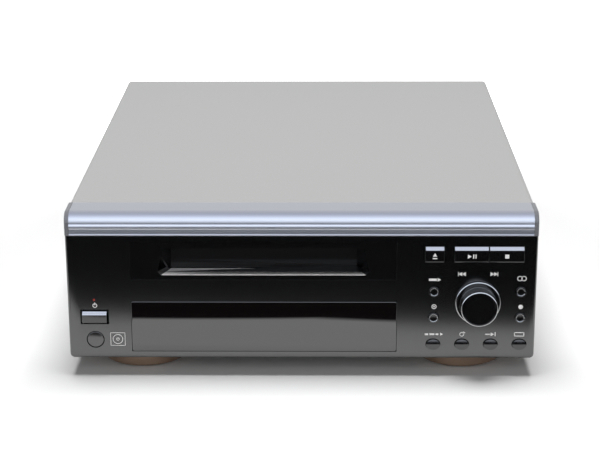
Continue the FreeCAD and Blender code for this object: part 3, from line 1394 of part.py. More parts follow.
def main():
    os.makedirs("parts", exist_ok=True)
    save("top_cover", top_cover())
    save("bottom_chassis", bottom_chassis())
    save("rear_panel", rear_panel())
    save("front_trim", front_trim())
    save("trim_end_cap_left", trim_end_cap(-1))
    save("trim_end_cap_right", trim_end_cap(1))
    save("front_panel", front_panel())
    save("slot_bezel", slot_bezel())
    save("slot_door", slot_door())
    save("door_spring", door_spring())
    save("display_window", display_window())
    save("display_tube", display_tube())
    save("standby_lamp", standby_lamp())
    save("remote_window", remote_window())
    save_buttons()
    save("tact_switches", *tact_switches())
    save("front_board", front_board())
    save("jog_knob", jog_knob())
    save("encoder_shaft", encoder_shaft())
    save("rotary_encoder", rotary_encoder())
    save("cartridge_holder", cartridge_holder())
    save("cam_slider", cam_slider())
    save("loading_gear", loading_gear())
    save("loading_pinion", loading_pinion())
    save("loading_motor", loading_motor())
    save("mechanism_bracket", mechanism_bracket())
    save("mechanism_dampers", *mechanism_dampers())
    save("mechanism_base", mechanism_base())
    save("sled_rods", *sled_rods())
    save("sled_motor", sled_motor())
    save("lead_screw", lead_screw())
    save("spindle_motor", spindle_motor())
    save("turntable", turntable())
    save("optical_pickup", optical_pickup())
    save("head_arm", head_arm())
    save("main_board", main_board())
    save("board_chips", *board_chips())
    save("board_capacitors", *board_capacitors())
    save("heat_sink", heat_sink())
    save("transformer_core", transformer_core())
    save("transformer_winding", transformer_winding())
    save("power_board", power_board())
    save("phono_jacks", phono_jacks())
    save("phono_inserts", *phono_inserts())
    save("optical_jacks", *optical_jacks())
    save("mains_inlet", mains_inlet())
    save("feet", *feet())
    save("foot_pads", *foot_pads())
    save("screws", *screws())


main()
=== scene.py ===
"""Minidisc deck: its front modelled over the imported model, and the finish of every surface."""

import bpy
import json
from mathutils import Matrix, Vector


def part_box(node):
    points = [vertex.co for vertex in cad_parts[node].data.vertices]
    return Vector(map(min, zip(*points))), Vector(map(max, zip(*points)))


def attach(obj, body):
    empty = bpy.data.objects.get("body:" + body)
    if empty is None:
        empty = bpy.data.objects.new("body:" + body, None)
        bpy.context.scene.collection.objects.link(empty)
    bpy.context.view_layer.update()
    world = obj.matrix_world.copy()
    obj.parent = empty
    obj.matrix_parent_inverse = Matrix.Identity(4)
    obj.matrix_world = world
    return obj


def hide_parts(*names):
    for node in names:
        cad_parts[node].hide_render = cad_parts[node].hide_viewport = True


bl_info = {
    "name": "Minidisc Deck",
    "version": (1, 0, 0),
    "blender": (4, 5, 0),
    "location": "3D View > Sidebar > Deck",
    "description": "Dresses a half-width minidisc deck, piece by piece",
    "category": "Object",
}

import json
import math

import bpy
from mathutils import Matrix, Vector

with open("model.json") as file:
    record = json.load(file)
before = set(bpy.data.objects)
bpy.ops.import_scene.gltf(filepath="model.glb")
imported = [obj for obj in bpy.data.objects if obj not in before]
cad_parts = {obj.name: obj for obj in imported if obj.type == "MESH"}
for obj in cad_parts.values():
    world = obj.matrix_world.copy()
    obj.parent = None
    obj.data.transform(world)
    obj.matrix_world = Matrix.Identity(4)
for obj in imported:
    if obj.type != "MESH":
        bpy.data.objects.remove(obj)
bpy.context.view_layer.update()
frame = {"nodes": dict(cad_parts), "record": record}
MM = 0.001
NEAR = 0.01 * MM            # places closer than this count as one
ALONG = 0.99                # an edge's share along an axis that counts as lying along it

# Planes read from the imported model, in metres
PANEL_LOW, PANEL_HIGH = (Vector(corner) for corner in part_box("front_panel"))
FACE = PANEL_LOW.y
BASE = PANEL_LOW.z
TRIM_LOW, TRIM_HIGH = (Vector(corner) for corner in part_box("front_trim"))
SEAM = TRIM_HIGH.y
TOP = TRIM_HIGH.z
PANEL_TOP = TRIM_LOW.z
PANEL_HIGH.z = PANEL_TOP    # the node's own tabs go on above this, behind the trim
PANEL_WALL = 2.5 * MM

# Front trim and its end caps, in metres
TRIM_FRONT = FACE - 0.6 * MM
TRIM_WALL = 1.6 * MM
HOLLOW_SHIFT = (0, 0.1 * MM, -0.5 * MM)
GROOVE = 0.5 * MM
BEAD_HEIGHT = 2.1 * MM
BEAD_PROUD = 0.25 * MM
HEM_R = 0.45 * MM
HEM_BACK = 0.25 * MM        # the hem's axis behind the trim's front
END_CAP_ROUND = 0.8 * MM

# From here on the front is given in millimetres: x from the middle, z from the body's underside,
# and depths behind the face
HOLE = (-1, 3)              # reach of a cutter that makes an opening in the panel
PANEL_CORNER = 2.0
PANEL_EDGE = 1.2
PANEL_LOWER = 9             # edges below this height are the panel's lower corners
HOLE_EDGE = 0.15
LAMP_HOLE_R = 0.55
REMOTE_R = 4.05
LENS_GAP = 0.35
SMALL_ROUND = 0.25

# Disc slot; the mouth's rows go from its floor up, each with half a width and a height
SLOT_MIDDLE = (-16.9, 46.35)
SLOT_SIZE = (118.9, 17.5)
BEZEL_GAP = 0.15
BEZEL_ROUND = 0.3
MOUTH_DEPTH = 8
MOUTH_FRONT = ((45.75, 39.7), (47.15, 41.5), (44.9, 52.5))
MOUTH_BACK = ((41.9, 39.9), (41.9, 42.1), (41.9, 51.5))
THROAT = (45.7, 83.8, 11.6)     # height of its middle, width and height
THROAT_START = 7.9
LIP = (39.95, 91.0, 0.3)        # height of its middle, width and thickness
LIP_REACH = (0.1, 7.8)
LIP_BACK_HALF = 41.8
LIP_RISE = 0.35
LIP_ROUND = 0.06

WINDOW_SIZE = (119.4, 23.9)
WINDOW_Z = 15.25
WINDOW_CORNER = 0.9

BAR_BUTTONS = ("power", "eject", "play_pause", "stop")
ROUND_BUTTONS = ("edit", "sync", "set", "record")
OVAL_BUTTONS = ("scroll", "repeat", "input", "display")
CAP_BACK = 3.0
FLANGE = 1.2
FLANGE_REACH = (2.8, 3.6)
STEM_R = 1.0
STEM_FRONT = 3.5
STEM_SHORT = 0.05

BAR_CAPS = {"power": (11.2, 5.4), "eject": (8.4, 7.2), "play_pause": (15.2, 7.2),
            "stop": (15.4, 7.2)}
BAR_HOLE_REACH = 0.5
POWER_HOLE_REACH = 1.6
BAR_FOOT_ROUND = 0.8
BAR_EDGE_ROUND = 0.2

# Silver strip on a bar button's chamfer, a painted highlight where the chamfer catches the light;
# the power button's has two rows, painted reflections of two lights
STRIP_MARGIN = 0.3
STRIP_HALF = 0.92
STRIP_SHORT = 0.04
STRIP_PROUD = 0.09          # in front of the chamfer, and STRIP_SUNK behind it
STRIP_SUNK = 0.03
STRIP_ROUND = 0.03
STRIP_STEP = 1.1
POWER_ROWS = (-0.42, 0.42)

ROUND_CAP_R = 2.4
ROUND_EDGE = 0.3
CAP_DISH = (1.55, 1.75)     # its radius behind and in front
CAP_DISH_DEPTH = 0.25
# Bright ring on a round button's cap: a painted highlight along the cap's rounded edge
CAP_RING = (1.85, 0.16)     # its two radii
CAP_RING_DEPTH = 0.16

OVAL_CAP = (6.4, 4.95)
OVAL_GAP = 0.1
OVAL_DROP = 1.3             # the crown's axis below the cap's middle
OVAL_CROWN = 28.0 * MM      # radius of an oval button's crowned front, in metres
OVAL_BARREL = 12

KNOB = (79.0, 26.95)
KNOB_R = (8.6, 8.15)        # its radius behind and in front
KNOB_BACK = -1.3
KNOB_ROUND = 0.6
KNOB_DISH = (7.2, 7.45)
KNOB_DISH_REACH = (-0.1, 0.5)
SKIRT = (9.5, -1.4, -0.4)   # radius, front and back
BORE = (3.0, -3.0, 1.0)
# Rims: the front one is a silver ring, the skirt's one a painted highlight on the skirt's rounded
# edge
FRONT_RIM = (7.75, 0.38)
FRONT_RIM_DEPTH = 0.42
SKIRT_RIM = (9.72, 0.36, -0.95)

# The photograph's camera: place from the face's foot in millimetres, turns in radians, and lens
CAMERA_PLACE = (10.1, -704.7, 292.3)
CAMERA_PITCH = 0.314
CAMERA_YAW = -0.015
CAMERA_ROLL = 0.004
CAMERA_LENS = 100.7

# Table, in metres
TABLE_FRONT = 0.069         # pale surface in front of the face
TABLE_SLANT = 0.07          # slope of its front edge across the picture
TABLE_BLUR = 0.004
TABLE_GLOW = (0.17, 0.42)   # distances over which it fades to white for the camera
TABLE_DARK = (0.008, 0.008, 0.008, 1)
TABLE_PALE = (0.92, 0.92, 0.92, 1)

# Area lights: name, place, target, side and power
LIGHTS = (("overhead", (0, -0.06, 1.5), (0, -0.1, 0), 0.75, 22.0),
          ("front fill", (0, -1.6, 0.75), (0, -0.12, 0.04), 1.2, 7.0))


class DeckSizes(bpy.types.PropertyGroup):
    """Small sizes that shape the pieces."""
    trim_round: bpy.props.FloatProperty(
        name="Trim rounding", description="Radius along the trim's top edge",
        default=5.0 * MM, unit="LENGTH")
    bar_chamfer: bpy.props.FloatProperty(
        name="Bar chamfer", description="Chamfer along a bar button's top edge",
        default=1.6 * MM, unit="LENGTH")
    gap: bpy.props.FloatProperty(
        name="Gap", description="Gap round a part set into the panel",
        default=0.2 * MM, unit="LENGTH")


class DeckColours(bpy.types.PropertyGroup):
    """Colours of the main finishes."""
    cover: bpy.props.FloatVectorProperty(
        name="Cover", description="Paint of the cover", subtype="COLOR",
        default=(0.415, 0.415, 0.41), size=3)
    trim: bpy.props.FloatVectorProperty(
        name="Trim", description="Anodised trim", subtype="COLOR",
        default=(0.60, 0.61, 0.66), size=3)
    panel: bpy.props.FloatVectorProperty(
        name="Panel", description="Front moulding", subtype="COLOR",
        default=(0.0012, 0.0012, 0.0014), size=3)
    foot: bpy.props.FloatVectorProperty(
        name="Foot", description="Feet", subtype="COLOR",
        default=(0.26, 0.175, 0.12), size=3)
    signs: bpy.props.FloatVectorProperty(
        name="Signs", description="Printed signs", subtype="COLOR",
        default=(0.90, 0.90, 0.89), size=3)


# Mesh helpers
def clear_selection():
    if bpy.context.mode != "OBJECT":
        bpy.ops.object.mode_set(mode="OBJECT")
    bpy.ops.object.select_all(action="DESELECT")


def settle(name):
    """Names the new object and puts its place into its mesh."""
    piece = bpy.context.object
    piece.name = name
    bpy.ops.object.transform_apply(location=True, rotation=True, scale=True)
    return piece


def add_box(name, low, high):
    clear_selection()
    low, high = Vector(low), Vector(high)
    bpy.ops.mesh.primitive_cube_add(size=1, location=(low + high) / 2, scale=high - low)
    return settle(name)


def add_rod(name, centre, radius, length, axis="Y", sides=64, tip=None):
    """A cylinder, or a cone whose far end has the radius tip, centred on centre."""
    clear_selection()
    turns = {"X": (0, math.pi / 2, 0), "Y": (math.pi / 2, 0, 0), "Z": (0, 0, 0)}
    far = radius if tip is None else tip
    bpy.ops.mesh.primitive_cone_add(vertices=sides, radius1=radius, radius2=far, depth=length,
                                    location=centre, rotation=turns[axis])
    return settle(name)


def make_active(piece):
    clear_selection()
    piece.select_set(True)
    bpy.context.view_layer.objects.active = piece


def apply_modifier(piece, kind, **settings):
    make_active(piece)
    modifier = piece.modifiers.new(kind.title(), kind)
    for key, value in settings.items():
        setattr(modifier, key, value)
    bpy.ops.object.modifier_apply(modifier=modifier.name)


def round_edges(piece, width, segments=3, angle=40):
    apply_modifier(piece, "BEVEL", width=width, segments=segments, limit_method="ANGLE",
                   angle_limit=math.radians(angle), use_clamp_overlap=True)


def combine(piece, operation, *others):
    for other in others:
        apply_modifier(piece, "BOOLEAN", operation=operation, object=other, solver="EXACT")
        bpy.data.objects.remove(other, do_unlink=True)


def cut(piece, *cutters):
    combine(piece, "DIFFERENCE", *cutters)


def unite(piece, *others):
    combine(piece, "UNION", *others)


def join_pieces(pieces, name):
    clear_selection()
    for piece in pieces:
        piece.select_set(True)
    bpy.context.view_layer.objects.active = pieces[0]
    if len(pieces) > 1:
        bpy.ops.object.join()
    pieces[0].name = name
    return pieces[0]


def smooth(piece, angle=35):
    make_active(piece)
    bpy.ops.object.shade_smooth_by_angle(angle=math.radians(angle))


def bevel_chosen(piece, width, segments, chosen):
    """Bevels the edges whose middle and direction pass the test chosen(middle, run)."""
    make_active(piece)
    bpy.ops.object.mode_set(mode="EDIT")
    bpy.ops.mesh.select_all(action="DESELECT")
    bpy.ops.mesh.select_mode(type="EDGE")
    bpy.ops.object.mode_set(mode="OBJECT")
    mesh = piece.data
    for edge in mesh.edges:
        a, b = (mesh.vertices[i].co for i in edge.vertices)
        edge.select = chosen((a + b) / 2, (b - a).normalized())
    bpy.ops.object.mode_set(mode="EDIT")
    bpy.ops.mesh.bevel(offset=width, segments=segments, affect="EDGES")
    bpy.ops.object.mode_set(mode="OBJECT")


def finish_piece(piece, material, body="deck", nodes=()):
    piece.data.materials.clear()
    piece.data.materials.append(material)
    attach(piece, body)
    if nodes:
        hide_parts(*nodes)


# Material helpers
def add_node(tree, kind, inputs=None, **settings):
    """A node with its settings; each input is given a value, or an output to link to it."""
    node = tree.nodes.new("ShaderNode" + kind)
    for key, value in settings.items():
        setattr(node, key, value)
    for key, value in (inputs or {}).items():
        if isinstance(value, bpy.types.NodeSocket):
            tree.links.new(value, node.inputs[key])
        else:
            node.inputs[key].default_value = value
    return node


def maths(tree, operation, *values, **settings):
    node = add_node(tree, "Math", dict(enumerate(values)), operation=operation, **settings)
    return node.outputs[0]


def new_group(name, colour, **values):
    """A group that takes a colour and named numbers, and gives colour, roughness and normal."""
    tree = bpy.data.node_groups.new(name, "ShaderNodeTree")
    add_socket = tree.interface.new_socket
    socket = add_socket(name="Colour", in_out="INPUT", socket_type="NodeSocketColor")
    socket.default_value = (*colour, 1)
    for label, value in values.items():
        socket = add_socket(name=label, in_out="INPUT", socket_type="NodeSocketFloat")
        socket.default_value = value
    for label, kind in (("Colour", "Color"), ("Roughness", "Float"), ("Normal", "Vector")):
        add_socket(name=label, in_out="OUTPUT", socket_type="NodeSocket" + kind)
    return tree, tree.nodes.new("NodeGroupInput").outputs, tree.nodes.new("NodeGroupOutput").inputs


def spread(tree, noise, amount, level):
    """A noise made to swing by an amount about a level."""
    return maths(tree, "MULTIPLY_ADD", maths(tree, "SUBTRACT", noise, 0.5), amount, level)


def close_group(tree, sink, colour, shade, rough, bump):
    tint = add_node(tree, "VectorMath", {0: colour, "Scale": shade}, operation="SCALE")
    tree.links.new(tint.outputs[0], sink["Colour"])
    tree.links.new(rough, sink["Roughness"])
    tree.links.new(bump.outputs["Normal"], sink["Normal"])
    return tree


def grain_group():
    """Fine speckle, slow cloudiness and a small bump, for paint and mouldings."""
    tree, source, sink = new_group("Grain", (0.5, 0.5, 0.5), Scale=800.0, Speckle=0.05,
                                   Roughness=0.4, Spread=0.06, Bump=0.1)
    here = add_node(tree, "TexCoord").outputs["Object"]
    fine = add_node(tree, "TexNoise", {"Detail": 3.0, "Scale": source["Scale"], "Vector": here})
    slow = add_node(tree, "TexNoise", {"Detail": 4.0, "Scale": 18.0, "Vector": here})
    shade = spread(tree, fine.outputs["Fac"], source["Speckle"], 1.0)
    rough = spread(tree, slow.outputs["Fac"], source["Spread"], source["Roughness"])
    bump = add_node(tree, "Bump", {"Distance": 0.02 * MM, "Strength": source["Bump"],
                                   "Height": fine.outputs["Fac"]})
    return close_group(tree, sink, source["Colour"], shade, rough, bump)


def brushed_group():
    """Lines drawn along X, for anodised and ground metal."""
    tree, source, sink = new_group("Brushed", (0.6, 0.6, 0.6), Lines=0.08, Roughness=0.3)
    here = add_node(tree, "TexCoord").outputs["Object"]
    stretch = add_node(tree, "Mapping", {"Scale": (12.0, 2600.0, 2600.0), "Vector": here})
    lines = add_node(tree, "TexNoise", {"Detail": 2.0, "Scale": 1.0,
                                        "Vector": stretch.outputs["Vector"]})
    shade = spread(tree, lines.outputs["Fac"], source["Lines"], 1.0)
    rough = spread(tree, lines.outputs["Fac"], source["Lines"], source["Roughness"])
    bump = add_node(tree, "Bump", {"Distance": 0.01 * MM, "Strength": 0.15,
                                   "Height": lines.outputs["Fac"]})
    return close_group(tree, sink, source["Colour"], shade, rough, bump)


GROUPS = {}


def blank_material(name):
    material = bpy.data.materials.new(name)
    material.use_nodes = True
    return material, material.node_tree, material.node_tree.nodes["Principled BSDF"]


def surface(name, group, colour, metallic=0.0, ior=1.5, **values):
    """A Principled surface whose colour, roughness and normal come from a shared group."""
    if group not in GROUPS:
        GROUPS[group] = {"Grain": grain_group, "Brushed": brushed_group}[group]()
    material, tree, shader = blank_material(name)
    inputs = {key.title(): value for key, value in values.items()}
    effect = add_node(tree, "Group", {"Colour": (*colour, 1), **inputs}, node_tree=GROUPS[group])
    tree.links.new(effect.outputs["Colour"], shader.inputs["Base Color"])
    tree.links.new(effect.outputs["Roughness"], shader.inputs["Roughness"])
    tree.links.new(effect.outputs["Normal"], shader.inputs["Normal"])
    shader.inputs["Metallic"].default_value = metallic
    shader.inputs["IOR"].default_value = ior
    return material


# Finishes of the modelled pieces, the cover and the feet: group, colour or its property, and values
FINISHES = {
    "Cover paint": ("Grain", "cover", dict(scale=1500.0, speckle=0.16, roughness=0.62, spread=0.05,
                                           bump=0.5)),
    "Panel moulding": ("Grain", "panel", dict(ior=2.2, scale=2200.0, speckle=0.3, roughness=0.19,
                                              spread=0.03, bump=0.04)),
    "Polished black": ("Grain", (0.004, 0.004, 0.0045),
                       dict(ior=1.9, scale=900.0, speckle=0.2, roughness=0.12, spread=0.03,
                            bump=0.02)),
    "Smoked acrylic": ("Grain", (0.0035, 0.0022, 0.0024),
                       dict(ior=2.15, scale=60.0, speckle=0.4, roughness=0.045, spread=0.02,
                            bump=0.0)),
    "Remote filter": ("Grain", (0.02, 0.018, 0.018),
                      dict(ior=2.1, scale=300.0, speckle=0.1, roughness=0.16, spread=0.02,
                           bump=0.02)),
    "Anodised trim": ("Brushed", "trim", dict(metallic=1.0, lines=0.05, roughness=0.4)),
    # Bright metal: silver on the knob's front rim, a painted highlight on the bar strips, the
    # button rings and the knob's skirt rim
    "Bright rim": ("Brushed", (0.72, 0.73, 0.74), dict(metallic=1.0, lines=0.05, roughness=0.16)),
    "Cap moulding": ("Grain", (0.17, 0.175, 0.19),
                     dict(ior=1.6, scale=1500.0, speckle=0.1, roughness=0.35, spread=0.04,
                          bump=0.1)),
    # Near-white lip plate: a silver lip whose sheen is painted in as pale diffuse colour
    "Satin plate": ("Grain", (0.95, 0.94, 0.94),
                    dict(scale=1500.0, speckle=0.05, roughness=0.55, spread=0.04, bump=0.05)),
    "Sign print": ("Grain", "signs", dict(scale=3000.0, speckle=0.15, roughness=0.5, spread=0.05,
                                          bump=0.1)),
    "Foot finish": ("Grain", "foot", dict(metallic=0.35, scale=500.0, speckle=0.12, roughness=0.38,
                                          spread=0.08, bump=0.1)),
}


def make_finish(name):
    group, colour, values = FINISHES[name]
    if isinstance(colour, str):
        colour = getattr(bpy.context.scene.deck_colours, colour)
    return surface(name, group, colour, **values)


# Finishes of the carried-over CAD nodes: group, colour and values
NODE_FINISHES = {
    "plated_sheet": ("Brushed", (0.60, 0.61, 0.58),
                     dict(metallic=1.0, lines=0.12, roughness=0.38)),
    "black_sheet": ("Grain", (0.035, 0.035, 0.038),
                    dict(scale=1600.0, speckle=0.2, roughness=0.55, bump=0.5)),
    "black_moulding": ("Grain", (0.02, 0.02, 0.021),
                       dict(scale=1800.0, speckle=0.2, roughness=0.4, bump=0.3)),
    "gloss_black": ("Grain", (0.012, 0.012, 0.013),
                    dict(scale=900.0, speckle=0.2, roughness=0.16, bump=0.02)),
    "spring_steel": ("Brushed", (0.55, 0.55, 0.56),
                     dict(metallic=1.0, lines=0.1, roughness=0.3)),
    "tube_glass": ("Grain", (0.02, 0.03, 0.03),
                   dict(scale=200.0, speckle=0.1, roughness=0.08, bump=0.0)),
    "lamp_red": ("Grain", (0.35, 0.05, 0.04),
                 dict(scale=400.0, speckle=0.1, roughness=0.15, bump=0.0)),
    "steel": ("Brushed", (0.58, 0.58, 0.59),
              dict(metallic=1.0, lines=0.1, roughness=0.28)),
    "screw_black": ("Grain", (0.05, 0.05, 0.055),
                    dict(metallic=0.8, scale=900.0, speckle=0.3, roughness=0.35, bump=0.1)),
    "circuit_board": ("Grain", (0.03, 0.13, 0.05),
                      dict(scale=600.0, speckle=0.3, roughness=0.35, bump=0.3)),
    "chip_black": ("Grain", (0.02, 0.02, 0.02),
                   dict(scale=1500.0, speckle=0.3, roughness=0.5, bump=0.4)),
    "capacitor_sleeve": ("Grain", (0.02, 0.03, 0.12),
                         dict(scale=300.0, speckle=0.1, roughness=0.25, bump=0.0)),
    "core_steel": ("Grain", (0.12, 0.12, 0.13),
                   dict(metallic=0.6, scale=400.0, speckle=0.3, roughness=0.5, bump=0.4)),
    "winding_tape": ("Grain", (0.55, 0.36, 0.08),
                     dict(scale=300.0, speckle=0.2, roughness=0.4, bump=0.3)),
    "heat_aluminium": ("Brushed", (0.60, 0.60, 0.62),
                       dict(metallic=1.0, lines=0.15, roughness=0.4)),
    "white_moulding": ("Grain", (0.70, 0.70, 0.67),
                       dict(scale=900.0, speckle=0.06, roughness=0.4, bump=0.2)),
    "grey_moulding": ("Grain", (0.16, 0.16, 0.17),
                      dict(scale=900.0, speckle=0.2, roughness=0.5, bump=0.4)),
    "rubber_black": ("Grain", (0.02, 0.02, 0.02),
                     dict(scale=700.0, speckle=0.3, roughness=0.75, bump=0.6)),
    "jack_plate": ("Brushed", (0.72, 0.70, 0.64),
                   dict(metallic=1.0, lines=0.08, roughness=0.22)),
    "jack_white": ("Grain", (0.72, 0.72, 0.70),
                   dict(scale=700.0, speckle=0.06, roughness=0.35, bump=0.1)),
}


class DECK_OT_cad_finishes(bpy.types.Operator):
    """Give every carried-over CAD node the finish of its material slot."""
    bl_idname = "deck.cad_finishes"
    bl_label = "Finish the CAD nodes"

    def execute(self, context):
        made = {}
        for entry in frame["record"]["subparts"]:
            slot = entry["material_slot"]
            if slot not in NODE_FINISHES:
                continue
            if slot not in made:
                group, colour, values = NODE_FINISHES[slot]
                made[slot] = surface(slot.replace("_", " ").capitalize(), group, colour, **values)
            set_material(entry["node"], made[slot])
        set_material("top_cover", make_finish("Cover paint"))
        set_material("feet", make_finish("Foot finish"))
        return {"FINISHED"}


def set_material(node, material):
    piece = frame["nodes"][node]
    if not piece.material_slots:
        piece.data.materials.append(material)
    for place in piece.material_slots:
        place.material = material


# Trim and end caps
def trim_body(name, x0, x1, extra=0.0):
    """The trim's outside block, rounded along its front top edge, or smaller by extra."""
    radius = bpy.context.scene.deck_sizes.trim_round - extra
    piece = add_box(name, (x0, TRIM_FRONT + extra, PANEL_TOP), (x1, SEAM, TOP - extra))
    bevel_chosen(piece, radius, 16, lambda middle, run: abs(run.x) > ALONG and
                 middle.y < SEAM - MM and middle.z > TOP - 3 * MM)
    return piece


class DECK_OT_trim(bpy.types.Operator):
    """Model the grooved aluminium trim and its two end caps."""
    bl_idname = "deck.trim"
    bl_label = "Front trim"

    def execute(self, context):
        groove_z = TOP - context.scene.deck_sizes.trim_round - GROOVE / 2
        body = trim_body("trim", TRIM_LOW.x, TRIM_HIGH.x)
        hollow = trim_body("hollow", TRIM_LOW.x - MM, TRIM_HIGH.x + MM, TRIM_WALL)
        hollow.data.transform(Matrix.Translation(HOLLOW_SHIFT))
        notch = add_box("notch", (TRIM_LOW.x - MM, TRIM_FRONT - MM, groove_z - GROOVE / 2),
                        (TRIM_HIGH.x + MM, TRIM_FRONT + GROOVE, groove_z + GROOVE / 2))
        bead_radius = ((BEAD_HEIGHT / 2) ** 2 + BEAD_PROUD ** 2) / (2 * BEAD_PROUD)
        bead_z = groove_z - GROOVE / 2 - BEAD_HEIGHT / 2
        middle = (TRIM_LOW.x + TRIM_HIGH.x) / 2
        length = TRIM_HIGH.x - TRIM_LOW.x
        bead = add_rod("bead", (middle, TRIM_FRONT + bead_radius - BEAD_PROUD, bead_z),
                       bead_radius, length, "X", 48)
        hem = add_rod("hem", (middle, TRIM_FRONT + HEM_BACK, PANEL_TOP + HEM_R), HEM_R,
                      length, "X", 24)
        cut(body, notch)
        unite(body, bead, hem)
        cut(body, hollow)
        smooth(body, 25)
        finish_piece(body, make_finish("Anodised trim"), nodes=["front_trim"])
        grey = make_finish("Cap moulding")
        for name in ("left", "right"):
            low, high = (Vector(corner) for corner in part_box("trim_end_cap_" + name))
            cap = trim_body("trim_cap_" + name, low.x, high.x)
            outside = high.x if name == "right" else low.x
            bevel_chosen(cap, END_CAP_ROUND, 5, lambda middle, run:
                         abs(middle.x - outside) < NEAR and middle.y < SEAM - 0.1 * MM and
                         middle.z > PANEL_TOP + 0.1 * MM)
            smooth(cap, 35)
            finish_piece(cap, grey, nodes=["trim_end_cap_" + name])
        return {"FINISHED"}


# Front panel, bezel and windows
def face_box(x, z, width, height, front, back, name="cutter"):
    """A box by its middle on the face, its size, and its depths behind the face, in millimetres."""
    low = ((x - width / 2) * MM, FACE + front * MM, BASE + (z - height / 2) * MM)
    high = ((x + width / 2) * MM, FACE + back * MM, BASE + (z + height / 2) * MM)
    return add_box(name, low, high)


def face_rod(x, z, radius, front, back, name="cutter", tip=None, sides=64):
    """A round piece square to the face, with the same millimetres; tip is its front radius."""
    centre = (x * MM, FACE + (front + back) / 2 * MM, BASE + z * MM)
    far = None if tip is None else tip * MM
    return add_rod(name, centre, radius * MM, (back - front) * MM, "Y", sides, far)


def face_oval(x, z, width, height, front, back, name="cutter"):
    """A rod one millimetre wide, stretched to the oval."""
    piece = face_rod(0, 0, 0.5, front, back, name)
    shift = Matrix.Translation((x * MM, 0, BASE + z * MM))
    stretch = Matrix.Diagonal((width, 1, height, 1))
    piece.data.transform(shift @ stretch @ Matrix.Translation((0, 0, -BASE)))
    return piece


def node_place(node):
    """A node's middle on the face, in millimetres."""
    low, high = (Vector(corner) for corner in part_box(node))
    middle = (low + high) / 2
    return middle.x / MM, (middle.z - BASE) / MM


def node_reach(node):
    """How far a node reaches before and behind the face, in millimetres."""
    low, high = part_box(node)
    return (low[1] - FACE) / MM, (high[1] - FACE) / MM


def at_depth(place, y):
    return abs(place.y - y) < NEAR


class DECK_OT_panel(bpy.types.Operator):
    """Model the front moulding with its openings."""
    bl_idname = "deck.panel"
    bl_label = "Front panel"

    def execute(self, context):
        gap = context.scene.deck_sizes.gap / MM
        panel = add_box("panel", PANEL_LOW, PANEL_HIGH)
        bevel_chosen(panel, PANEL_CORNER * MM, 6, lambda middle, run:
                     abs(run.y) > ALONG and middle.z < BASE + PANEL_LOWER * MM)
        bevel_chosen(panel, PANEL_EDGE * MM, 4, lambda middle, run:
                     at_depth(middle, FACE) and middle.z < PANEL_TOP - NEAR)
        low = PANEL_LOW + Vector((PANEL_WALL, PANEL_WALL, PANEL_WALL))
        cut(panel, add_box("cutter", low, PANEL_HIGH - Vector((PANEL_WALL, -MM, PANEL_WALL))))
        width, height = WINDOW_SIZE
        holes = [face_box(*SLOT_MIDDLE, *SLOT_SIZE, *HOLE),
                 face_box(SLOT_MIDDLE[0], WINDOW_Z, width + gap, height + gap, *HOLE),
                 face_rod(*node_place("remote_window"), REMOTE_R, *HOLE),
                 face_rod(*node_place("standby_lamp"), LAMP_HOLE_R, *HOLE)]
        for name in BAR_BUTTONS:
            width, height = BAR_CAPS[name]
            reach = POWER_HOLE_REACH if name == "power" else BAR_HOLE_REACH
            holes.append(face_box(*node_place(name + "_button"), width + reach, height + reach,
                                  *HOLE))
        for name in ROUND_BUTTONS:
            holes.append(face_rod(*node_place(name + "_button"), ROUND_CAP_R + gap, *HOLE))
        for name in OVAL_BUTTONS:
            width, height = OVAL_CAP
            holes.append(face_oval(*node_place(name + "_button"), width + 2 * gap, height + 2 * gap,
                                   *HOLE))
        cut(panel, *holes)
        round_edges(panel, HOLE_EDGE * MM, 1, 60)
        smooth(panel, 35)
        finish_piece(panel, make_finish("Panel moulding"), nodes=["front_panel"])
        return {"FINISHED"}


def wedge(front, back):
    """A cube whose corners are moved to the mouth's rows in front and behind."""
    y0, y1 = FACE - NEAR, FACE + MOUTH_DEPTH * MM
    piece = add_box("cutter", (-1, y0, -1), (1, y1, 1))
    for vertex in piece.data.vertices:
        rows = front if vertex.co.y < (y0 + y1) / 2 else back
        half, z = rows[0 if vertex.co.z < 0 else 1]
        x = SLOT_MIDDLE[0] + math.copysign(half, vertex.co.x)
        vertex.co = Vector((x * MM, vertex.co.y, BASE + z * MM))
    return piece


class DECK_OT_bezel(bpy.types.Operator):
    """Model the disc slot's funnel-shaped mouth."""
    bl_idname = "deck.bezel"
    bl_label = "Slot mouth"

    def execute(self, context):
        front, back = node_reach("slot_bezel")
        width, height = SLOT_SIZE
        bezel = face_box(*SLOT_MIDDLE, width - BEZEL_GAP, height - BEZEL_GAP, max(front, 0), back,
                         "bezel")
        cut(bezel, wedge(MOUTH_FRONT[:2], MOUTH_BACK[:2]), wedge(MOUTH_FRONT[1:], MOUTH_BACK[1:]),
            face_box(SLOT_MIDDLE[0], *THROAT, THROAT_START, back + 1))
        round_edges(bezel, BEZEL_ROUND * MM, 1, 30)
        smooth(bezel, 30)
        finish_piece(bezel, make_finish("Polished black"), nodes=["slot_bezel"])
        # Slot lip: a pale plate whose near-white colour paints in a silver lip's sheen
        lip = face_box(SLOT_MIDDLE[0], *LIP, *LIP_REACH, "slot_lip")
        middle = SLOT_MIDDLE[0] * MM
        for vertex in lip.data.vertices:
            if vertex.co.y > FACE + MOUTH_DEPTH / 2 * MM:
                vertex.co.x = middle + math.copysign(LIP_BACK_HALF * MM, vertex.co.x - middle)
                vertex.co.z += LIP_RISE * MM
        round_edges(lip, LIP_ROUND * MM, 1)
        finish_piece(lip, make_finish("Satin plate"))
        return {"FINISHED"}


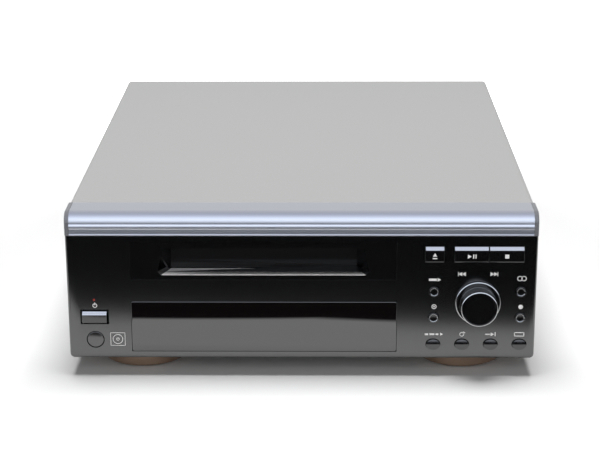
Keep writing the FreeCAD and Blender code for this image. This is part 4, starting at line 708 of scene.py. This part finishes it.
class DECK_OT_windows(bpy.types.Operator):
    """Model the display window and the remote sensor's window."""
    bl_idname = "deck.windows"
    bl_label = "Windows"

    def execute(self, context):
        front, back = node_reach("display_window")
        window = face_box(SLOT_MIDDLE[0], WINDOW_Z, *WINDOW_SIZE, max(front, 0.0), back,
                          "window")
        bevel_chosen(window, WINDOW_CORNER * MM, 5, lambda middle, run: abs(run.y) > ALONG)
        round_edges(window, SMALL_ROUND * MM, 3)
        smooth(window, 35)
        finish_piece(window, make_finish("Smoked acrylic"),
                     nodes=["display_window"])
        x, z = node_place("remote_window")
        front, back = node_reach("remote_window")
        lens = face_rod(x, z, REMOTE_R - LENS_GAP, max(front, 0.0), back, "remote_lens")
        round_edges(lens, SMALL_ROUND * MM, 3)
        smooth(lens, 35)
        finish_piece(lens, make_finish("Remote filter"), nodes=["remote_window"])
        return {"FINISHED"}


def flanged(cap, node, flange):
    """Joins a cap with its stem and the flange that stops it behind the panel."""
    unite(cap, flange)
    back = node_reach(node)[1]
    unite(cap, face_rod(*node_place(node), STEM_R, STEM_FRONT, back - STEM_SHORT))


def ring_piece(x, z, major, minor, depth, name):
    """A ring square to the face; every measure in millimetres."""
    clear_selection()
    bpy.ops.mesh.primitive_torus_add(major_segments=96, minor_segments=16, major_radius=major * MM,
                                     minor_radius=minor * MM, rotation=(math.pi / 2, 0, 0),
                                     location=(x * MM, FACE + depth * MM, BASE + z * MM))
    ring = settle(name)
    smooth(ring, 60)
    return ring


def bar_button(name, black, painted_highlight):
    node = name + "_button"
    x, z = node_place(node)
    width, height = BAR_CAPS[name]
    front = node_reach(node)[0]
    chamfer = bpy.context.scene.deck_sizes.bar_chamfer
    cap = face_box(x, z, width, height, front, CAP_BACK, name + "_cap")
    top, foot = BASE + (z + height / 2) * MM, BASE + (z - height / 2) * MM
    face = FACE + front * MM
    for level, size, steps in ((top, chamfer, 1), (foot, BAR_FOOT_ROUND * MM, 6)):
        bevel_chosen(cap, size, steps, lambda middle, run: abs(run.x) > ALONG and
                     at_depth(middle, face) and abs(middle.z - level) < NEAR)
    round_edges(cap, BAR_EDGE_ROUND * MM, 3, 50)
    flanged(cap, node, face_box(x, z, width, height + 2 * FLANGE, *FLANGE_REACH))
    smooth(cap, 30)
    finish_piece(cap, black, name, [node])
    # Painted highlight: bright metal strips laid along the chamfer where it catches the light
    rows = POWER_ROWS if name == "power" else (0.0,)
    half = (width - STRIP_MARGIN) / 2 * MM
    deep = STRIP_HALF / len(rows) * MM
    middle = Vector((x * MM, face + chamfer / 2, top - chamfer / 2))
    turned = Matrix.Translation(middle) @ Matrix.Rotation(math.radians(-45), 4, "X")
    strips = []
    for row in rows:
        slab = add_box("strip", (-half, -STRIP_PROUD * MM, -deep + STRIP_SHORT * MM),
                       (half, STRIP_SUNK * MM, deep))
        slab.data.transform(turned @ Matrix.Translation((0, 0, STRIP_STEP * row * MM)))
        strips.append(slab)
    strip = join_pieces(strips, name + "_strip")
    round_edges(strip, STRIP_ROUND * MM, 2)
    finish_piece(strip, painted_highlight, name)


def round_button(name, black, painted_highlight):
    node = name + "_button"
    x, z = node_place(node)
    front = node_reach(node)[0]
    cap = face_rod(x, z, ROUND_CAP_R, front, CAP_BACK, name + "_cap")
    cut(cap, face_rod(x, z, CAP_DISH[0], front - 0.01, front + CAP_DISH_DEPTH, tip=CAP_DISH[1]))
    round_edges(cap, ROUND_EDGE * MM, 4, 40)
    flanged(cap, node, face_rod(x, z, ROUND_CAP_R + FLANGE, *FLANGE_REACH))
    smooth(cap, 30)
    finish_piece(cap, black, name, [node])
    # Painted highlight: a bright metal ring where the cap's edge catches the light
    ring = ring_piece(x, z, *CAP_RING, front + CAP_RING_DEPTH, name + "_ring")
    finish_piece(ring, painted_highlight, name)


def oval_button(name, black):
    node = name + "_button"
    x, z = node_place(node)
    width, height = OVAL_CAP
    front = node_reach(node)[0]
    cap = face_oval(x, z, width - OVAL_GAP, height - OVAL_GAP, front, CAP_BACK, name + "_cap")
    centre = (x * MM, FACE + front * MM + OVAL_CROWN, BASE + (z - OVAL_DROP) * MM)
    combine(cap, "INTERSECT", add_rod("cutter", centre, OVAL_CROWN, OVAL_BARREL * MM, "X", 720))
    round_edges(cap, SMALL_ROUND * MM, 3, 50)
    flanged(cap, node, face_oval(x, z, width + 2 * FLANGE, height + 2 * FLANGE, *FLANGE_REACH))
    smooth(cap, 50)
    finish_piece(cap, black, name, [node])


class DECK_OT_buttons(bpy.types.Operator):
    """Model the bar, round and oval buttons."""
    bl_idname = "deck.buttons"
    bl_label = "Buttons"

    def execute(self, context):
        black = make_finish("Polished black")
        painted_highlight = make_finish("Bright rim")
        for name in BAR_BUTTONS:
            bar_button(name, black, painted_highlight)
        for name in ROUND_BUTTONS:
            round_button(name, black, painted_highlight)
        for name in OVAL_BUTTONS:
            oval_button(name, black)
        return {"FINISHED"}


class DECK_OT_knob(bpy.types.Operator):
    """Model the jog knob with its silver front rim and a painted highlight ring on its skirt's
    edge.
    """
    bl_idname = "deck.knob"
    bl_label = "Jog knob"

    def execute(self, context):
        x, z = KNOB
        front = node_reach("jog_knob")[0]
        body = face_rod(x, z, KNOB_R[0], front, KNOB_BACK, "knob", tip=KNOB_R[1])
        face = FACE + front * MM
        bevel_chosen(body, KNOB_ROUND * MM, 4, lambda middle, run: at_depth(middle, face))
        dish_front, dish_back = (front + depth for depth in KNOB_DISH_REACH)
        cut(body, face_rod(x, z, KNOB_DISH[0], dish_front, dish_back, tip=KNOB_DISH[1]))
        unite(body, face_rod(x, z, *SKIRT))
        cut(body, face_rod(x, z, *BORE))
        smooth(body, 30)
        finish_piece(body, make_finish("Polished black"), "jog", ["jog_knob"])
        # The front rim is silver; the skirt's rim is a painted highlight
        rim = join_pieces([ring_piece(x, z, *FRONT_RIM, front + FRONT_RIM_DEPTH, "rim"),
                           ring_piece(x, z, *SKIRT_RIM, "rim")], "knob_rims")
        finish_piece(rim, make_finish("Bright rim"), "jog")
        return {"FINISHED"}


# Printed signs: flat shapes a little proud of the surface they stand on
SIGN_PROUD = 0.03
SIGN_SUNK = 0.05
BUTTON_SIGN_Z = 49.3


def sign_box(x, z, width, height, front=0.0):
    return face_box(x, z, width, height, front - SIGN_PROUD, front + SIGN_SUNK, "sign")


def sign_arrow(x, z, size, turn=90, front=0.0):
    """A triangle pointing right, turned about the face's normal."""
    piece = face_rod(0, 0, size, front - SIGN_PROUD, front + SIGN_SUNK, "sign", sides=3)
    spin = Matrix.Rotation(math.radians(turn), 4, "Y")
    shift = Matrix.Translation((x * MM, FACE, BASE + z * MM))
    piece.data.transform(shift @ spin @ Matrix.Translation((0, -FACE, -BASE)))
    return piece


def sign_disc(x, z, radius, front=0.0):
    return face_rod(x, z, radius, front - SIGN_PROUD, front + SIGN_SUNK, "sign", sides=48)


def sign_ring(x, z, radius, width=0.22, front=0.0):
    ring = sign_disc(x, z, radius, front)
    cut(ring, face_rod(x, z, radius - width, front - 1, front + 1, sides=48))
    return ring


SIGN_SHAPES = {"box": sign_box, "arrow": sign_arrow, "disc": sign_disc, "ring": sign_ring}

# Each sign: its shape, its place, and its own sizes, with an arrow's turn in degrees
PANEL_SIGNS = (
    # Standby, over the power button
    ("ring", -92.8, 25.3, 1.05, 0.3), ("box", -92.8, 26.1, 0.36, 1.3),
    # Disc in a square
    ("box", -83.0, 6.1, 6.7, 0.2), ("box", -83.0, 12.2, 6.7, 0.2),
    ("box", -86.25, 9.15, 0.2, 6.3), ("box", -79.75, 9.15, 0.2, 6.3),
    ("ring", -83.0, 9.15, 2.3), ("ring", -83.0, 9.15, 0.7),
    # Back and forward, over the knob
    ("arrow", 72.7, 40.5, 1.15, -90), ("arrow", 71.1, 40.5, 1.15, -90),
    ("box", 70.0, 40.5, 0.3, 2.0),
    ("arrow", 84.8, 40.5, 1.15, 90), ("arrow", 86.4, 40.5, 1.15, 90),
    ("box", 87.5, 40.5, 0.3, 2.0),
    # Over the round buttons
    ("box", 58.7, 37.8, 3.6, 1.1), ("arrow", 61.3, 37.8, 1.0, 90),
    ("ring", 97.4, 38.4, 1.2, 0.32), ("ring", 99.2, 38.4, 1.2, 0.32),
    ("ring", 59.45, 25.0, 1.1, 0.32), ("box", 59.45, 25.0, 0.6, 0.6),
    ("disc", 98.2, 24.9, 1.05),
    # Over the oval buttons
    ("box", 56.3, 11.75, 1.5, 0.8), ("box", 58.75, 11.75, 2.2, 0.8),
    ("box", 61.05, 11.75, 1.2, 0.8), ("arrow", 62.9, 11.75, 0.9, 90),
    ("ring", 72.2, 11.75, 1.05, 0.32), ("arrow", 73.1, 12.5, 0.75, 90),
    ("box", 84.0, 11.75, 2.6, 0.5), ("arrow", 85.7, 11.75, 1.0, 90),
    ("box", 87.2, 11.75, 0.4, 1.9),
    ("box", 98.0, 10.9, 4.4, 0.35), ("box", 98.0, 12.6, 4.4, 0.35),
    ("box", 95.9, 11.75, 0.35, 1.95), ("box", 100.1, 11.75, 0.35, 1.95),
)

# Signs on the buttons, placed from the button's middle and BUTTON_SIGN_Z
BUTTON_SIGNS = {
    "eject": (("arrow", 0, 0.5, 1.1, 0), ("box", 0, -0.95, 2.0, 0.5)),
    "play_pause": (("arrow", -1.2, 0, 1.15, 90), ("box", 0.8, 0, 0.5, 1.9),
                   ("box", 1.8, 0, 0.5, 1.9)),
    "stop": (("box", 0, 0, 1.8, 1.8),),
}


def print_signs(signs, name, x=0.0, z=0.0, front=0.0):
    made = [SIGN_SHAPES[shape](x + across, z + up, *sizes, front=front)
            for shape, across, up, *sizes in signs]
    return join_pieces(made, name)


class DECK_OT_signs(bpy.types.Operator):
    """Print the generic signs on the panel and on the transport buttons."""
    bl_idname = "deck.signs"
    bl_label = "Printed signs"

    def execute(self, context):
        white = make_finish("Sign print")
        finish_piece(print_signs(PANEL_SIGNS, "panel_signs"), white)
        for name, signs in BUTTON_SIGNS.items():
            node = name + "_button"
            made = print_signs(signs, name + "_sign", node_place(node)[0], BUTTON_SIGN_Z,
                               node_reach(node)[0])
            finish_piece(made, white, name)
        return {"FINISHED"}


# Stage
# Studio seen in reflections: angle from the front horizon over the top, as a share of half a
# turn, and colour
REFLECTED = ((0.0, (0.95, 1.0, 1.12)), (0.09, (1.6, 1.75, 1.95)), (0.18, (1.65, 1.8, 2.0)),
             (0.34, (0.85, 0.92, 1.1)), (0.5, (0.52, 0.55, 0.64)), (0.72, (0.74, 0.75, 0.77)),
             (1.0, (0.92, 0.92, 0.92)))


def mix_colours(tree, share, low, high):
    node = add_node(tree, "Mix", {"A": low, "B": high, "Factor": share}, data_type="RGBA")
    return node.outputs["Result"]


def studio_world(name, seen, lit):
    """White for camera rays, an even colour for diffuse light and a studio for reflections."""
    world = bpy.data.worlds.new(name)
    world.use_nodes = True
    tree = world.node_tree
    place = add_node(tree, "TexCoord")
    split = add_node(tree, "SeparateXYZ", {0: place.outputs["Generated"]})
    ahead = maths(tree, "MULTIPLY", split.outputs["Y"], -1.0)
    angle = maths(tree, "ARCTAN2", split.outputs["Z"], ahead)
    ramp = add_node(tree, "ValToRGB", {0: maths(tree, "DIVIDE", angle, math.pi)})
    stops = ramp.color_ramp.elements
    stops[0].color = (*REFLECTED[0][1], 1)
    stops[-1].color = (*REFLECTED[-1][1], 1)
    for position, colour in REFLECTED[1:-1]:
        stops.new(position).color = (*colour, 1)
    path = add_node(tree, "LightPath")
    shown = mix_colours(tree, path.outputs["Is Glossy Ray"], (*lit, 1), ramp.outputs["Color"])
    shown = mix_colours(tree, path.outputs["Is Camera Ray"], shown, (*seen, 1))
    tree.links.new(shown, tree.nodes["Background"].inputs["Color"])
    return world


def floor_material():
    """Pale table; past its front edge a mirror-like ray finds it dark."""
    material, tree, shader = blank_material("Table")
    shader.inputs["Roughness"].default_value = 0.9
    shader.inputs["Specular IOR Level"].default_value = 0.0
    here = add_node(tree, "TexCoord").outputs["Object"]
    split = add_node(tree, "SeparateXYZ", {0: here}).outputs
    slant = maths(tree, "MULTIPLY_ADD", split["X"], -TABLE_SLANT, split["Y"])
    edge = add_node(tree, "MapRange", {"From Min": FACE - TABLE_FRONT - TABLE_BLUR,
                                       "From Max": FACE - TABLE_FRONT + TABLE_BLUR,
                                       "Value": slant})
    path = add_node(tree, "LightPath")
    pale = maths(tree, "SUBTRACT", 1.0, path.outputs["Is Glossy Ray"], use_clamp=True)
    shown = maths(tree, "MAXIMUM", pale, edge.outputs["Result"])
    colour = mix_colours(tree, shown, TABLE_DARK, TABLE_PALE)
    tree.links.new(colour, shader.inputs["Base Color"])
    distance = add_node(tree, "VectorMath", {0: here}, operation="LENGTH").outputs["Value"]
    far = add_node(tree, "MapRange", {"From Min": TABLE_GLOW[0], "From Max": TABLE_GLOW[1],
                                      "Value": distance}, interpolation_type="SMOOTHSTEP")
    glow = maths(tree, "MULTIPLY", far.outputs["Result"], path.outputs["Is Camera Ray"])
    shader.inputs["Emission Color"].default_value = (1, 1, 1, 1)
    tree.links.new(glow, shader.inputs["Emission Strength"])
    return material


def add_light(name, place, target, side, power):
    """A square area light that reflections don't show."""
    clear_selection()
    aim = Vector(target) - Vector(place)
    bpy.ops.object.light_add(type="AREA", location=place)
    light = bpy.context.object
    light.name = name
    light.rotation_euler = aim.to_track_quat("-Z", "Y").to_euler()
    light.data.shape = "RECTANGLE"
    light.data.size = light.data.size_y = side
    light.data.energy = power
    light.visible_glossy = False


def place_camera():
    clear_selection()
    place = Vector((CAMERA_PLACE[0] * MM, FACE + CAMERA_PLACE[1] * MM,
                    BASE + CAMERA_PLACE[2] * MM))
    bpy.ops.object.camera_add(location=place)
    camera = bpy.context.object
    level = math.cos(CAMERA_PITCH)
    ahead = Vector((math.sin(CAMERA_YAW) * level, math.cos(CAMERA_YAW) * level,
                    -math.sin(CAMERA_PITCH)))
    right = Vector((math.cos(CAMERA_YAW), -math.sin(CAMERA_YAW), 0))
    down = ahead.cross(right)
    turn_right = math.cos(CAMERA_ROLL) * right + math.sin(CAMERA_ROLL) * down
    turn_down = -math.sin(CAMERA_ROLL) * right + math.cos(CAMERA_ROLL) * down
    basis = Matrix((turn_right, -turn_down, -ahead)).transposed().to_4x4()
    camera.matrix_world = Matrix.Translation(place) @ basis
    camera.data.lens = CAMERA_LENS
    camera.data.sensor_width = 36
    bpy.context.scene.camera = camera


class DECK_OT_stage(bpy.types.Operator):
    """Set the table, the soft lights, the world and the camera."""
    bl_idname = "deck.stage"
    bl_label = "Stage"

    def execute(self, context):
        floor = add_box("table", (-6, -6, -0.02), (6, 6, 0))
        floor.data.materials.append(floor_material())
        for values in LIGHTS:
            add_light(*values)
        context.scene.world = studio_world("Studio", (1, 1, 1), (0.1, 0.1, 0.1))
        context.scene.view_settings.view_transform = "Standard"
        place_camera()
        return {"FINISHED"}


class DECK_PT_sidebar(bpy.types.Panel):
    """The deck's steps in the sidebar."""
    bl_idname = "DECK_PT_sidebar"
    bl_label = "Minidisc deck"
    bl_space_type = "VIEW_3D"
    bl_region_type = "UI"
    bl_category = "Deck"

    def draw(self, context):
        for step in STEPS:
            self.layout.operator(step.bl_idname)
        for name in DeckSizes.__annotations__:
            self.layout.prop(context.scene.deck_sizes, name)
        for name in DeckColours.__annotations__:
            self.layout.prop(context.scene.deck_colours, name)


STEPS = (DECK_OT_cad_finishes, DECK_OT_trim, DECK_OT_panel, DECK_OT_bezel, DECK_OT_windows,
         DECK_OT_buttons, DECK_OT_knob, DECK_OT_signs, DECK_OT_stage)
CLASSES = (DeckSizes, DeckColours) + STEPS + (DECK_PT_sidebar,)


def register():
    for item in CLASSES:
        bpy.utils.register_class(item)
    bpy.types.Scene.deck_sizes = bpy.props.PointerProperty(type=DeckSizes)
    bpy.types.Scene.deck_colours = bpy.props.PointerProperty(type=DeckColours)


def unregister():
    del bpy.types.Scene.deck_colours
    del bpy.types.Scene.deck_sizes
    for item in reversed(CLASSES):
        bpy.utils.unregister_class(item)


def main():
    register()
    bpy.ops.deck.cad_finishes()
    bpy.ops.deck.trim()
    bpy.ops.deck.panel()
    bpy.ops.deck.bezel()
    bpy.ops.deck.windows()
    bpy.ops.deck.buttons()
    bpy.ops.deck.knob()
    bpy.ops.deck.signs()
    bpy.ops.deck.stage()


if __name__ == "__main__":
    main()
